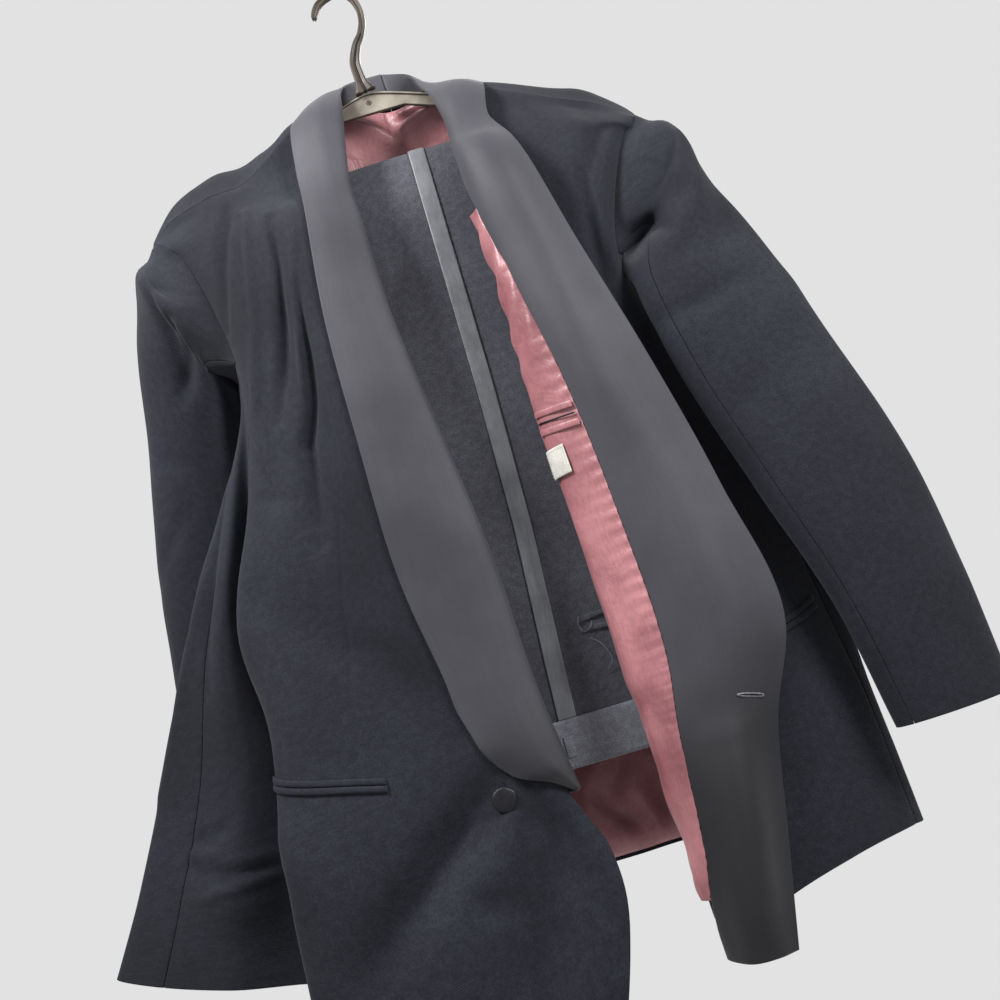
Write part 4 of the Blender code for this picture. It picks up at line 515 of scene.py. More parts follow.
class Net:
    """A sheet through lines of points, read at any (line, level), both counted in steps, with drawn
    folds and creases, seeded ripples, and seams with a groove and puckers. A closed net runs round a
    sleeve."""

    def __init__(self, lines, folds=(), creases=(), ripples=(), seams=(), calm=None, closed=False):
        self.closed = len(lines) if closed else 0
        self.points = np.array(lines, float)
        if closed:
            self.points = np.concatenate([self.points[-2:], self.points, self.points[:3]])
        self.across = summed(np.linalg.norm(np.diff(self.points, axis=0), axis=2).mean(axis=1))
        self.down = summed(np.linalg.norm(np.diff(self.points, axis=1), axis=2).mean(axis=0))
        self.start = self.across[2 if closed else 0]
        self.around = self.across[-3] - self.across[2]
        self.folds, self.creases, self.ripples = folds, creases, ripples
        self.seams, self.calm = seams, calm

    def cloth_place(self, line, level):
        """Where a point lies on the flattened cloth, in metres."""
        if self.closed:
            line = np.mod(line, self.closed) + 2
        return place_on(self.across, line), place_on(self.down, level)

    def flat(self, lines, levels):
        """The same for grids of lines and levels."""
        places = np.stack(self.cloth_place(lines.ravel(), levels.ravel()), axis=1)
        return places.reshape(lines.shape + (2,))

    def plain(self, line, level):
        """Points of the sheet before its relief."""
        sideways, below = self.cloth_place(line, level)
        rows = smooth(self.down, np.moveaxis(self.points, 1, 0), below)
        slopes = np.gradient(rows, self.across, axis=1)
        low, step, u = spans(self.across, sideways)
        step, u, each = step[:, None], u[:, None], np.arange(len(low))
        return hermite(rows[each, low], rows[each, low + 1], slopes[each, low] * step,
                       slopes[each, low + 1] * step, u)

    def normals(self, line, level, nudge=0.02):
        """Unit directions out of the cloth's right side."""
        sideways = self.plain(line + nudge, level) - self.plain(line - nudge, level)
        below = self.plain(line, level + nudge) - self.plain(line, level - nudge)
        return unit(np.cross(sideways, below))

    def normal(self, line, level):
        return self.normals(np.array([float(line)]), np.array([float(level)]))[0]

    def drawn_relief(self, places):
        """Height of the folds and creases, which fade out at the ends of their paths."""
        height = np.zeros(len(places))
        for rows, end, power in ((self.folds, 0.12, 0.7), (self.creases, 0.08, 0.6)):
            for half_width, lift, *path in rows:
                knots = np.array(path, float).reshape(-1, 2).T
                gap, share = near_path(places, np.stack(self.cloth_place(*knots), axis=1))
                strength = np.sin(np.pi * (end + (1 - 2 * end) * share)) ** power
                height += lift * CM * strength * bell(gap, half_width * CM)
        return height

    def rippled(self, sideways, below):
        height = np.zeros(len(below))
        for seed, cell_across, cell_down, lift in self.ripples:
            wrap = NOISE_CELLS
            if self.closed:
                wrap = max(3, round(self.around / cell_across))
                cell_across = self.around / wrap
            height += lift * noise(seed, (sideways - self.start) / cell_across, below / cell_down, wrap)
        return height

    def relief(self, line, level):
        """How far the cloth is lifted off the sheet, metres."""
        sideways, below = self.cloth_place(line, level)
        ripple = self.rippled(sideways, below)
        if self.calm:
            ripple *= np.interp(line, *self.calm)
        height = self.drawn_relief(np.stack([sideways, below], axis=1)) + ripple
        for number, (seam, first, last, depth) in enumerate(self.seams):
            gap = np.abs(sideways - self.cloth_place(np.array([float(seam)]), np.zeros(1))[0][0])
            if self.closed:
                gap = np.minimum(gap, self.around - gap)
            here = np.clip((level - first) * 4 + 1, 0, 1) * np.clip((last - level) * 4 + 1, 0, 1)
            strength = 0.55 + 0.45 * noise(40 + number, below * 0, below / 0.06)
            wave = np.sin(2 * np.pi * below / 0.0105 + 2.2 * noise(60 + number, below * 0, below / 0.021))
            puckers = PUCKER * strength * wave * np.exp(-gap / 0.009)
            height += depth * here * (puckers - GROOVE * np.exp(-gap / 0.0022))
        return height

    def at(self, line, level, out=0.0):
        """Points at (line, level), moved out of the cloth's right side by `out` metres."""
        line, level = np.asarray(line, float).ravel(), np.asarray(level, float).ravel()
        away = (np.ravel(out) + self.relief(line, level)) * np.ones(len(line))
        return self.plain(line, level) + self.normals(line, level) * away[:, None]

    def grid(self, lines, levels, out):
        return self.at(lines, levels, out).reshape(lines.shape + (3,))


def level_at_height(net, lines, heights):
    """The level at which each line passes each height."""
    steps = np.linspace(0, net.points.shape[1] - 1, 400)
    found = []
    for line, height in zip(lines, heights):
        z = net.plain(np.full(len(steps), line), steps)[:, 2]
        below = np.argmax(z < height)
        share = (z[below - 1] - height) / (z[below - 1] - z[below])
        found.append(steps[below - 1] + share * (steps[below] - steps[below - 1]))
    return np.array(found)


# ---------------------------------------------------------------- meshes


def build(name, points, faces, uv, slot):
    """A smooth-shaded mesh with its material, riding on the suit's one body. One that has the name of a node
    of the frame takes its place."""
    mesh = bpy.data.meshes.new(name)
    mesh.from_pydata(points.tolist(), [], [tuple(face) for face in faces])
    mesh.update()
    corners = np.zeros(len(mesh.loops), dtype=np.int32)
    mesh.loops.foreach_get("vertex_index", corners)
    layer = mesh.uv_layers.new(name="UVMap")
    layer.data.foreach_set("uv", np.asarray(uv, np.float32)[corners].ravel())
    mesh.shade_smooth()
    mesh.materials.append(MATERIALS[LOOKS.get(name, slot)])
    stands_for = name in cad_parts
    piece = bpy.data.objects.new("fine_" + name if stands_for else name, mesh)
    SCENE.collection.objects.link(piece)
    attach(piece, "root")
    if stands_for:
        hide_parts(name)


def shell(name, right, wrong, uv, slot, ring=False):
    """A closed thin wall between two grids of points, columns across and rows down, with rounded rims."""
    columns, rows = right.shape[:2]
    count = columns * rows
    number = np.arange(count).reshape(columns, rows)
    wrapped = np.vstack([number, number[:1]]) if ring else number
    quads = np.stack([wrapped[:-1, :-1], wrapped[1:, :-1], wrapped[1:, 1:], wrapped[:-1, 1:]], axis=-1)
    quads = quads.reshape(-1, 4)
    outward = np.zeros_like(right)
    outward[:, 0] += unit(right[:, 0] - right[:, 1])
    outward[:, -1] += unit(right[:, -1] - right[:, -2])
    if ring:
        loops = [wrapped[:, 0], wrapped[::-1, -1]]
    else:
        outward[0] += unit(right[0] - right[1])
        outward[-1] += unit(right[-1] - right[-2])
        loops = [np.concatenate([number[:, 0], number[-1, 1:], number[-2::-1, -1], number[0, -2::-1]])]
    thick = np.linalg.norm(right - wrong, axis=-1, keepdims=True)
    middle = ((right + wrong) / 2 + unit(outward) * thick * RIM_BULGE).reshape(-1, 3)
    flat_uv = uv.reshape(-1, 2)
    points, uvs = [right.reshape(-1, 3), wrong.reshape(-1, 3)], [flat_uv, flat_uv]
    faces = [quads, quads[:, ::-1] + count]
    start = 2 * count
    for loop in loops:
        here, there = loop[:-1], loop[1:]
        points.append(middle[here])
        uvs.append(flat_uv[here])
        rim = start + np.arange(len(here))
        next_rim = np.roll(rim, -1)
        faces.append(np.stack([there, here, rim, next_rim], axis=1))
        faces.append(np.stack([next_rim, rim, count + here, count + there], axis=1))
        start += len(here)
    build(name, np.concatenate(points), np.concatenate(faces), np.concatenate(uvs), slot)


def ring_faces(count, around):
    """Faces of a bar through rings of points, with its two ends."""
    faces = []
    for here in range(0, (count - 1) * around, around):
        for corner in range(around):
            beside, there = (corner + 1) % around, here + around
            faces.append((here + corner, here + beside, there + beside, there + corner))
    last = (count - 1) * around
    return faces + [tuple(reversed(range(around))), tuple(range(last, last + around))]


def tube_parts(path, radius, sides=8, flat=1.0, up=(0.3, 0.5, 0.81)):
    """Points and faces of a round tube along a path, closed at both ends. `radius` may change along it."""
    path = np.array(path, float)
    radius = np.broadcast_to(np.asarray(radius, float), (len(path),))
    along = unit(np.gradient(path, axis=0))
    side = unit(np.cross(along, np.asarray(up, float)))[:, None]
    over = np.cross(side[:, 0], along)[:, None]
    angle = (2 * np.pi * np.arange(sides) / sides)[None, :, None]
    ring = side * np.cos(angle) + over * flat * np.sin(angle)
    points = (path[:, None] + ring * radius[:, None, None]).reshape(-1, 3)
    return points, [face[1::-1] + face[:1:-1] for face in ring_faces(len(path), sides)]


def joined(name, parts, slot):
    """One piece out of several closed parts."""
    faces, start = [], 0
    for part_points, part_faces in parts:
        faces += [tuple(start + corner for corner in face) for face in part_faces]
        start += len(part_points)
    points = np.concatenate([part_points for part_points, _ in parts])
    build(name, points, faces, points[:, [0, 2]], slot)


# ---------------------------------------------------------------- dense panels


def between(widths, spacing):
    """Places counted in the frame's columns, about `spacing` metres apart, with a few more at the edges."""
    last = len(widths)
    found = [last]
    for step, width in enumerate(widths):
        count = max(1, round(width / spacing))
        found += list(step + np.arange(count) / count)
    close = [metres / widths[0] for metres in NEAR_EDGE]
    close += [last - metres / widths[-1] for metres in NEAR_EDGE]
    keep = [at for at in found if at in (0, last) or all(abs(at - other) > 0.05 for other in close)]
    return np.array(sorted(set(keep + close)))


def levels_between(net, first, last, spacing=CLOTH_STEP, near=NEAR_EDGE):
    """Levels about `spacing` metres apart down a net, with a few more close to each end."""
    start, end = place_on(net.down, np.array([first, last], float))
    places = np.linspace(start, end, max(2, round((end - start) / spacing)) + 1)
    places = [place for place in places if min(place - start, end - place) > near[-1] * 1.4]
    places += [start, end] + [start + metres for metres in near] + [end - metres for metres in near]
    return np.interp(sorted(places), net.down, np.arange(len(net.down)))


def read_lines(lines, index, levels):
    """The frame's columns, as numbers or as a function of the level, read between them."""
    grid = lines(levels) if callable(lines) else np.tile(np.array(lines, float)[:, None], (1, len(levels)))
    low = np.clip(np.floor(index).astype(int), 0, len(grid) - 2)
    share = (index - low)[:, None]
    return grid[low] * (1 - share) + grid[low + 1] * share


def drawn_in(grid, first, last, top, bottom):
    """The grid with its edges drawn in by some metres, and the points near them a little less."""
    for start, end in ((first, last), (top, bottom)):
        for by, view in ((start, grid), (end, grid[::-1])):
            if by > 0:
                gone = np.cumsum(np.linalg.norm(np.diff(view[:8], axis=0), axis=2), axis=0)
                gone = np.concatenate([np.zeros((1,) + gone.shape[1:]), gone])
                view[:8] += unit(view[4] - view[0]) * (by * np.exp(-gone / (2 * by)))[..., None]
        grid = grid.transpose(1, 0, 2)
    return grid


def dense(name, net, lines, levels, right_out, wrong_out, slot, seams=(1, 1, 1, 0), top=None,
          spacing=CLOTH_STEP, extra=None, more=()):
    """A piece of cloth over a stretch of a net. `lines` are the frame's columns, `seams` says how far each
    edge is drawn in, in rims, `top` gives for each side the points that the top edge is moved to and the
    level where that fades out, `extra` is added to both sides' height, and `more` are further columns,
    listed one by one."""
    table = lines(levels[len(levels) // 2 :][:1])[:, 0] if callable(lines) else np.array(lines, float)
    widths = np.abs(np.diff(place_on(net.across, np.mod(table, net.closed) + 2 if net.closed else table)))
    if net.closed:
        widths = np.minimum(widths, np.abs(net.around - widths))
    index = np.unique(np.concatenate([between(widths, spacing), np.array(more, float)]))
    line_grid = read_lines(lines, index, levels)
    level_grid = np.tile(levels, (len(index), 1))
    sides = []
    for side, out in enumerate((right_out, wrong_out)):
        away = np.full(line_grid.size, float(out))
        if extra:
            away = away + extra(line_grid.ravel(), level_grid.ravel())
        grid = net.grid(line_grid, level_grid, away)
        if top:
            targets, until = top(index, side, out)
            fall = np.clip(1 - (levels - levels[0]) / until, 0, 1)
            grid = grid + (targets - grid[:, 0])[:, None] * fall[None, :, None]
        sides.append(drawn_in(grid, *[(seam if np.isscalar(seam) else seam[side]) * RIM for seam in seams]))
    shell(name, *sides, net.flat(line_grid, level_grid), slot)


# ---------------------------------------------------------------- materials


class Look:
    """A material in the making. Its methods add nodes and return their output sockets."""

    def __init__(self, name, roughness, specular=0.5, sheen=0.0, sheen_roughness=0.5):
        self.material = bpy.data.materials.new(name)
        self.material.use_nodes = True
        self.tree = self.material.node_tree
        self.shader = self.tree.nodes["Principled BSDF"]
        for socket, value in (("Roughness", roughness), ("Specular IOR Level", specular),
                              ("Sheen Weight", sheen), ("Sheen Roughness", sheen_roughness)):
            self.shader.inputs[socket].default_value = value
        self.solid = self.add("TexCoord", {}, "Object")
        self.woven = self.add("TexCoord", {}, "UV")

    def add(self, kind, inputs, output=0, **settings):
        made = self.tree.nodes.new("ShaderNode" + kind)
        for name, value in settings.items():
            setattr(made, name, value)
        for key, value in inputs.items():
            if isinstance(value, bpy.types.NodeSocket):
                self.tree.links.new(value, made.inputs[key])
            else:
                made.inputs[key].default_value = value
        return made.outputs[output]

    def noise(self, places, scale, detail, distortion=0.0):
        inputs = {"Vector": places, "Scale": scale, "Detail": detail, "Distortion": distortion}
        return self.add("TexNoise", inputs, "Fac")

    def threads(self, stretch):
        return self.add("Mapping", {"Vector": self.woven, "Scale": (1, stretch, 1)})

    def ramp(self, value, low, high, bottom=0.0, top=1.0, **settings):
        return self.add("MapRange", {0: value, 1: low, 2: high, 3: bottom, 4: top}, **settings)

    def math(self, operation, first, second):
        return self.add("Math", {0: first, 1: second}, operation=operation)

    def mixed(self, share, first, second, blend="MIX"):
        return self.add("Mix", {0: share, 6: first, 7: second}, 2, data_type="RGBA", blend_type=blend)

    def mottled(self, patches, dark, light, low, high):
        return self.mixed(self.ramp(patches, low, high), (*dark, 1), (*light, 1))

    def tinted(self, base, shade):
        return self.mixed(1, base, shade, "MULTIPLY")

    def finished(self, base, height, strength, distance):
        """Joins the colour and the bump to the shader."""
        bump = self.add("Bump", {"Height": height, "Strength": strength, "Distance": distance})
        self.tree.links.new(base, self.shader.inputs["Base Color"])
        self.tree.links.new(bump, self.shader.inputs["Normal"])
        return self.material


def cloth(name, dark, light, roughness, sheen, period, turn, speckle, weave, broad, specular, stretch=1,
          painted_shade_below=None):
    """Woven cloth: soft mottling, fine speckle along the threads, and a twill or rib of some period and
    angle. `painted_shade_below` has two heights, and the share of its colour that it keeps below the lower
    one:
    a painted shade that darkens the cloth towards the bottom."""
    look = Look(name, roughness, specular, sheen)
    grain = look.noise(look.threads(stretch), 620, 3)
    slub = look.noise(look.threads(stretch), 160, 2)
    turned = look.add("Mapping", {"Vector": look.woven, "Rotation": (0, 0, math.radians(turn))})
    rib = look.add("TexWave", {"Vector": turned, "Scale": 0.314 / period, "Distortion": 1.2, "Detail": 1,
                               "Detail Scale": 2}, "Fac")
    base = look.mottled(look.noise(look.solid, broad, 4), dark, light, 0.36, 0.64)
    base = look.tinted(base, look.ramp(look.ramp(grain, 0.3, 0.7), 0, 1, 1 - speckle, 1 + speckle))
    base = look.tinted(base, look.ramp(slub, 0.35, 0.65, 1 - speckle / 2, 1 + speckle / 2))
    # painted shade: below a height the colour darkens smoothly, standing in for shadow
    if painted_shade_below:
        high, low, share = painted_shade_below
        height = look.add("SeparateXYZ", {0: look.solid}, 2)
        base = look.tinted(base, look.ramp(height, low, high, share, interpolation_type="SMOOTHSTEP"))
    return look.finished(base, look.math("ADD", grain, look.math("MULTIPLY", rib, weave)), 0.35, 0.0004)


def silk(name, dark, light, roughness, specular):
    """Smooth lining: mottled, with faint threads and a soft crumple."""
    look = Look(name, roughness, specular, 0.06, 0.35)
    grain = look.noise(look.threads(0.12), 900, 2)
    base = look.mottled(look.noise(look.solid, 14, 5), dark, light, 0.34, 0.66)
    base = look.tinted(base, look.ramp(grain, 0.3, 0.7, 0.9, 1.1))
    crumple = look.noise(look.solid, 46, 4, 0.6)
    return look.finished(base, look.math("ADD", crumple, look.math("MULTIPLY", grain, 0.12)), 0.7, 0.0022)


def moulded(name, dark, light, specular):
    """Old moulded plastic: mottled, slightly rubbed, with a fine orange peel."""
    look = Look(name, 0.4, specular)
    patches = look.noise(look.solid, 38, 5)
    look.tree.links.new(look.ramp(patches, 0.3, 0.7, 0.32, 0.55), look.shader.inputs["Roughness"])
    base = look.mottled(patches, dark, light, 0.35, 0.65)
    return look.finished(base, look.noise(look.solid, 700, 2), 0.2, 0.0003)


MATERIALS = {name: cloth(name, *look) for name, look in CLOTHS.items()}
MATERIALS |= {name: moulded(name, *look) for name, look in PLASTICS.items()}
MATERIALS["lining"] = silk("lining", *LINING_LOOK)


# ---------------------------------------------------------------- jacket body


def body_net():
    lines = []
    for name, row in BODY_LINES.items():
        row = np.array(row, float)
        middle = np.column_stack([row[6:-3].reshape(-1, 2), LEVELS])
        skirt = SKIRT.get(name, (middle[-1] + row[-3:]) / 2)
        lines.append([row[:3], row[3:6], *middle, skirt, row[-3:]])
    creases = BODY_CREASES + (DART_SEAM + DART,)
    return Net(np.array(lines, float) * CM, BODY_FOLDS, creases, BODY_RIPPLES, BODY_SEAMS, BODY_CALM)


def shoulder_top(body, places, until=0.35):
    """Moves a front's top edge to the back's, at these places for the front's columns."""
    def targets(index, side, out):
        lines = np.interp(index, np.arange(len(places)), places)
        return body.at(lines, np.zeros(len(lines)), float(out)), until
    return targets


def right_front_lines(levels):
    grid = np.tile(np.array(RIGHT_COLUMNS, float)[:, None], (1, len(levels)))
    grid[0] = np.interp(levels, (7, 7.5), (UNDER_ROLL, 0))
    return grid


def lining_edges(levels):
    """Where the strip of lining starts, at the turn, and where the facing starts."""
    start = np.interp(levels, *np.array(FACING_START, float).T)
    return np.minimum(TURN_LINE, start - TURN_GAP), start


def left_columns(levels):
    """Columns of the left front at each level: its outside, then the strip of lining, then the facing."""
    turn, start = lining_edges(np.asarray(levels, float))
    stretches = ((18, turn, LEFT_OUTSIDE), (turn, start, LEFT_STRIP), (start, 24, LEFT_FACING))
    return np.array([first + share * (last - first) for first, last, shares in stretches for share in shares])


def make_body(body):
    down, side_down = levels_between(body, 0, LAST_LEVEL), levels_between(body, UNDERARM, LAST_LEVEL)
    right_top, left_top = shoulder_top(body, SHOULDER_RIGHT), shoulder_top(body, SHOULDER_LEFT)
    for name, lines, levels, seams, top, more in (
        ("front_right", right_front_lines, down, (1, 1, 1, 0), right_top, FOLD_COLUMNS),
        ("side_right", np.arange(4, 7.1, 0.5), side_down, (1, 1, 1, 0), None, ()),
        ("back_right", BACK_RIGHT_COLUMNS, down, (1, 0.7, 1, 0), None, ()),
        ("back_left", BACK_LEFT_COLUMNS, down, (0.7, 1, 1, 0), None, ()),
        ("side_left", np.arange(16, 18.1, 0.5), side_down, (1, 1, 1, 0), None, ()),
        ("front_left", left_columns, down, (1, 0, 1, 0), left_top, ()),
    ):
        dense(name, body, lines, levels, 0, -WOOL, "wool", seams, top, more=more)


def back_lining_puff(line, level):
    """The back lining's own looseness, towards the wearer: a pleat down the middle, crumples at the neck."""
    pleat = 0.003 * bell(line - 12.25, 0.12) * np.clip(2.6 - level, 0, 1)
    crumple = 0.003 * (noise(31, line * 3.1, level * 6) + 0.5) * bell(level - 0.5, 0.9)
    roll = 0.0095 * bell(level - 0.86 - 0.12 * (line - 12), 0.3)
    seam = -0.005 * bell(line - 11.86 - 0.1 * level, 0.035) * np.clip(1.3 - level, 0, 1)
    billow = 0.0016 * (noise(32, line * 1.2, level * 1.1) + 1)
    hem = 0.003 * bell(level - 8.5, 0.3) * (1 + 0.7 * np.sin(line * 9))
    waves = 0.5 + 0.5 * np.sin(2 * np.pi * (line * 1.7 + 0.5 * noise(33, line, level * 0.8)))
    hem += 0.0065 * waves * np.clip((level - 6.4) / 1.2, 0, 1)
    tuck = np.clip((level - 0.02) * 12, 0, 1) * np.clip((8.92 - level) * 12, 0, 1)
    return -(pleat + np.maximum(crumple, 0) + billow + hem + roll + seam) * tuck


def left_lining_puff(line, level):
    """Drag lines, billow and the puckers along the facing seam of the left front's lining."""
    turn, start = lining_edges(level)
    across = np.clip((line - turn) / (start - turn), 0, 1)
    below = level * 0.12
    swing = 2 * np.pi * below / 0.0115 + 1.6 * noise(51, below * 0, below / 0.03)
    puckers = 0.0016 * (0.5 + 0.5 * np.sin(swing)) * np.exp(-(1 - across) / 0.16)
    puckers *= np.clip((level - 3.4) * 2, 0.25, 1)
    calm = 1 - 0.8 * bell(level - 4.75, 0.6)
    swing = 2 * np.pi * (level * 3.1 + across * 1.3 + 0.3 * noise(53, across * 2, level * 2))
    drag = 0.0034 * calm * (0.5 + 0.5 * np.sin(swing)) * np.clip((4.1 - level) * 1.5, 0, 1)
    drag *= np.sin(np.pi * across) ** 0.7
    billow = 0.005 * calm * (0.5 + 0.5 * noise(52, across * 2.1, level * 2.3)) * np.sin(np.pi * across)
    fold = 0.0036 * bell(across - 0.45 - 0.1 * (level - 5.6), 0.09)
    fold *= np.clip((level - 5.2) * 3, 0, 1) * np.clip((7.6 - level) * 2, 0, 1)
    return -(puckers + drag + billow + fold)


def make_linings(body):
    away = -(WOOL + 2 * PLY_GAP)
    levels = levels_between(body, 0, 8.92, LINING_STEP)
    dense("lining_back", body, BACK_RIGHT_COLUMNS[1:] + BACK_LEFT_COLUMNS[1:-1], levels, away, away - LINING,
          "lining", (0, 0, 2, 0), spacing=LINING_STEP, extra=back_lining_puff)
    first = len(LEFT_OUTSIDE)
    away = -(WOOL + PLY_GAP)
    dense("lining_left", body, lambda levels: left_columns(levels)[first : first + len(LEFT_STRIP) + 1],
          levels_between(body, 2.5, 8.4, STRIP_STEP), away, away - LINING, "lining", (0, 0.3, 0, 0),
          spacing=STRIP_STEP, extra=left_lining_puff)


# ---------------------------------------------------------------- shawl


def right_shawl_net(body):
    """The collar's rows, then rows from the right front's own points, moved out and turned in at the edge."""
    rows = [np.array(row, float) * CM for row in COLLAR_RIGHT]
    levels = np.concatenate([np.arange(2, 6.01, 0.25), np.arange(6.1, 7.01, 0.1)])
    reaches = np.interp(levels, *np.array(LAPEL_END, float).T) * np.interp(levels, (6.8, 7), (1, 0.3))
    for level, reach in zip(levels, reaches):
        puff = min(1.0, reach / 0.6)
        high, middle, outer = (body.at([reach * share], [level], lift + rise * puff)[0]
                               for share, lift, rise in LAPEL_ROWS)
        edge = body.at([0.0], [level])[0]
        inward = unit(body.at([0.05], [level])[0] - edge)
        out = body.normal(0, level)
        roll, turn, inside = (edge + inward * along + out * lift for along, lift in LAPEL_EDGE)
        rows.append(np.array([inside, turn, roll, high, middle, outer]))
    return Net(np.moveaxis(np.array(rows), 0, 1), ripples=LAPEL_RIPPLES)


def make_shawl(body):
    right = right_shawl_net(body)
    dense("shawl_right", right, LAPEL_ACROSS, levels_between(right, 0, right.points.shape[1] - 1, LAPEL_STEP),
          0, -LAPEL_CLOTH, "satin", (0, 0, 0.5, 0), spacing=LAPEL_STEP)

    # the left half comes round the neck on the collar's rows, and goes on down the left front as its facing
    def facing_lines(levels):
        return left_columns(levels)[len(LEFT_OUTSIDE) + len(LEFT_STRIP) :]

    away = -(WOOL + PLY_GAP + SATIN)
    start = FACING_START[0][0]
    joint = np.array([start, start + 0.5])
    rows = [curve_through(np.array(row[::-1], float) * CM, len(LEFT_FACING)) for row in COLLAR_LEFT]
    for level, lines, lift in zip(joint, facing_lines(joint).T, np.interp(joint, *COLLAR_LIFT)):
        rows.append(body.at(lines, np.full(len(lines), level), away - lift))
    collar_net = Net(np.moveaxis(np.array(rows), 0, 1))
    levels = levels_between(body, start, LAST_LEVEL, SATIN_STEP)
    widths = np.abs(np.diff(place_on(body.across, facing_lines(np.array([5.0]))[:, 0])))
    index = between(widths, SATIN_STEP)
    line_grid = read_lines(facing_lines, index, levels)
    level_grid = np.tile(levels, (len(index), 1))
    lift = np.interp(level_grid, *COLLAR_LIFT)
    collar_down = np.linspace(0, len(COLLAR_LEFT), 46)
    fall = np.clip(collar_down - (len(COLLAR_LEFT) - 1), 0, 1) ** 2
    sides = []
    for extra in (0, SATIN):
        facing = body.grid(line_grid, level_grid, away + extra - lift)
        collar = collar_net.grid(*np.meshgrid(index, collar_down, indexing="ij"), extra)
        collar += (facing[:, 0] - collar[:, -1])[:, None] * fall[None, :, None]
        sides.append(np.concatenate([collar[:, :-1], facing], axis=1))
    below = summed(np.linalg.norm(np.diff(sides[0], axis=1), axis=2).mean(axis=0))
    place = np.stack(np.meshgrid(run(sides[0][:, -40]), below, indexing="ij"), axis=2)
    shell("shawl_left", *sides, place, "satin")


# ---------------------------------------------------------------- sleeves


def armhole(body, first, last, out):
    """The armhole's edge, down one side from the shoulder and up the other."""
    down = np.linspace(0, UNDERARM, 61)
    across = np.linspace(first, last, 31)[1:-1]
    lines = np.concatenate([np.full(len(down), first), across, np.full(len(down), last)])
    levels = np.concatenate([down, np.full(len(across), UNDERARM), down[::-1]])
    return body.at(lines, levels, float(out))


def read_armhole(edge, reference, columns):
    """Points of the armhole's edge at columns of the sleeve. Its lowest point is halfway round the sleeve."""
    along = run(reference)
    lowest = (along[np.argmax(reference[:, 2] < reference[:, 2].min() + 1e-5)] + along[-1] / 2) / 2
    knots = np.array((0, 0.5, 1)) * SLEEVE_COLUMNS
    return read(np.interp(np.mod(columns, SLEEVE_COLUMNS), knots, (0, lowest, along[-1])), along, edge)


def sleeve_net(edge, sections, side, folds, creases, seams):
    rings = [read_armhole(edge, edge, np.arange(SLEEVE_COLUMNS))]
    angles = 2 * math.pi * np.arange(SLEEVE_COLUMNS)[:, None] / SLEEVE_COLUMNS
    for outer, inner, half_depth in sections:
        outer, inner = np.array(outer) * CM, np.array(inner) * CM
        reach = (outer - inner) / 2
        forward = unit(np.cross((0, 0, 1), reach) * -side) * half_depth * CM
        rings.append((outer + inner) / 2 + np.cos(angles) * reach + side * np.sin(angles) * forward)
    return Net(np.moveaxis(np.array(rings), 0, 1), folds, creases, SLEEVE_RIPPLES, seams, closed=True)


def make_sleeve(side, body, sections, folds, creases):
    """The two pieces of a sleeve, seamed at front and back, with its head gathered into the armhole."""
    name = "left" if side > 0 else "right"
    seam_lines = sorted((LINE[name + "_front_seam"], LINE[name + "_back_seam"]), reverse=True)
    edges = [armhole(body, *seam_lines, out) for out in (0, -WOOL)]
    front_seam, back_seam = side * (SLEEVE_COLUMNS - SLEEVE_FRONT_SEAM), -side * SLEEVE_BACK_SEAM
    first, last = sorted((front_seam, back_seam))
    seams = [(np.mod(seam, SLEEVE_COLUMNS), 0, SLEEVE_LAST, depth)
             for seam, depth in ((front_seam, 0.25), (back_seam, 0.8))]
    net = sleeve_net(edges[0], sections, side, folds, creases, seams)
    levels = levels_between(net, 0, SLEEVE_LAST)
    for suffix, columns in (("_top", np.linspace(first, last, 15)),
                            ("_under", np.linspace(last, first + SLEEVE_COLUMNS, 8))):
        def heads(index, side_number, out, columns=columns):
            wanted = np.interp(index, np.arange(len(columns)), columns)
            return read_armhole(edges[side_number], edges[0], wanted), HEAD_FADE

        dense("sleeve_" + name + suffix, net, columns, levels, 0, -WOOL, "wool",
              ((0.5, 2), (0.5, 2), (0.5, 1), 0), heads)


# ---------------------------------------------------------------- trousers


def leg_net():
    left, right, y, z = np.array(LEG_PATH).T
    shares = np.linspace(0, 1, LEG_RAILS)
    lines = [np.stack([left + share * (right - left), y, z], axis=1) for share in shares]
    return Net(np.array(lines) * CM, creases=LEG_CREASES, ripples=LEG_RIPPLES)


def leg_lines_at_x(leg, x, levels):
    """The line of the leg's net that passes each x, at each level."""
    first, last = (leg.plain(np.full(len(levels), line), levels)[:, 0] for line in (0.0, LEG_RAILS - 1.0))
    return (x - first) / (last - first) * (LEG_RAILS - 1)


def leg_level_at(leg, z):
    """The level of the outer leg's front at each height."""
    levels = np.linspace(0, 2, 60)
    return np.interp(z, leg.plain(np.full(60, 2.0), levels)[:, 2], levels)


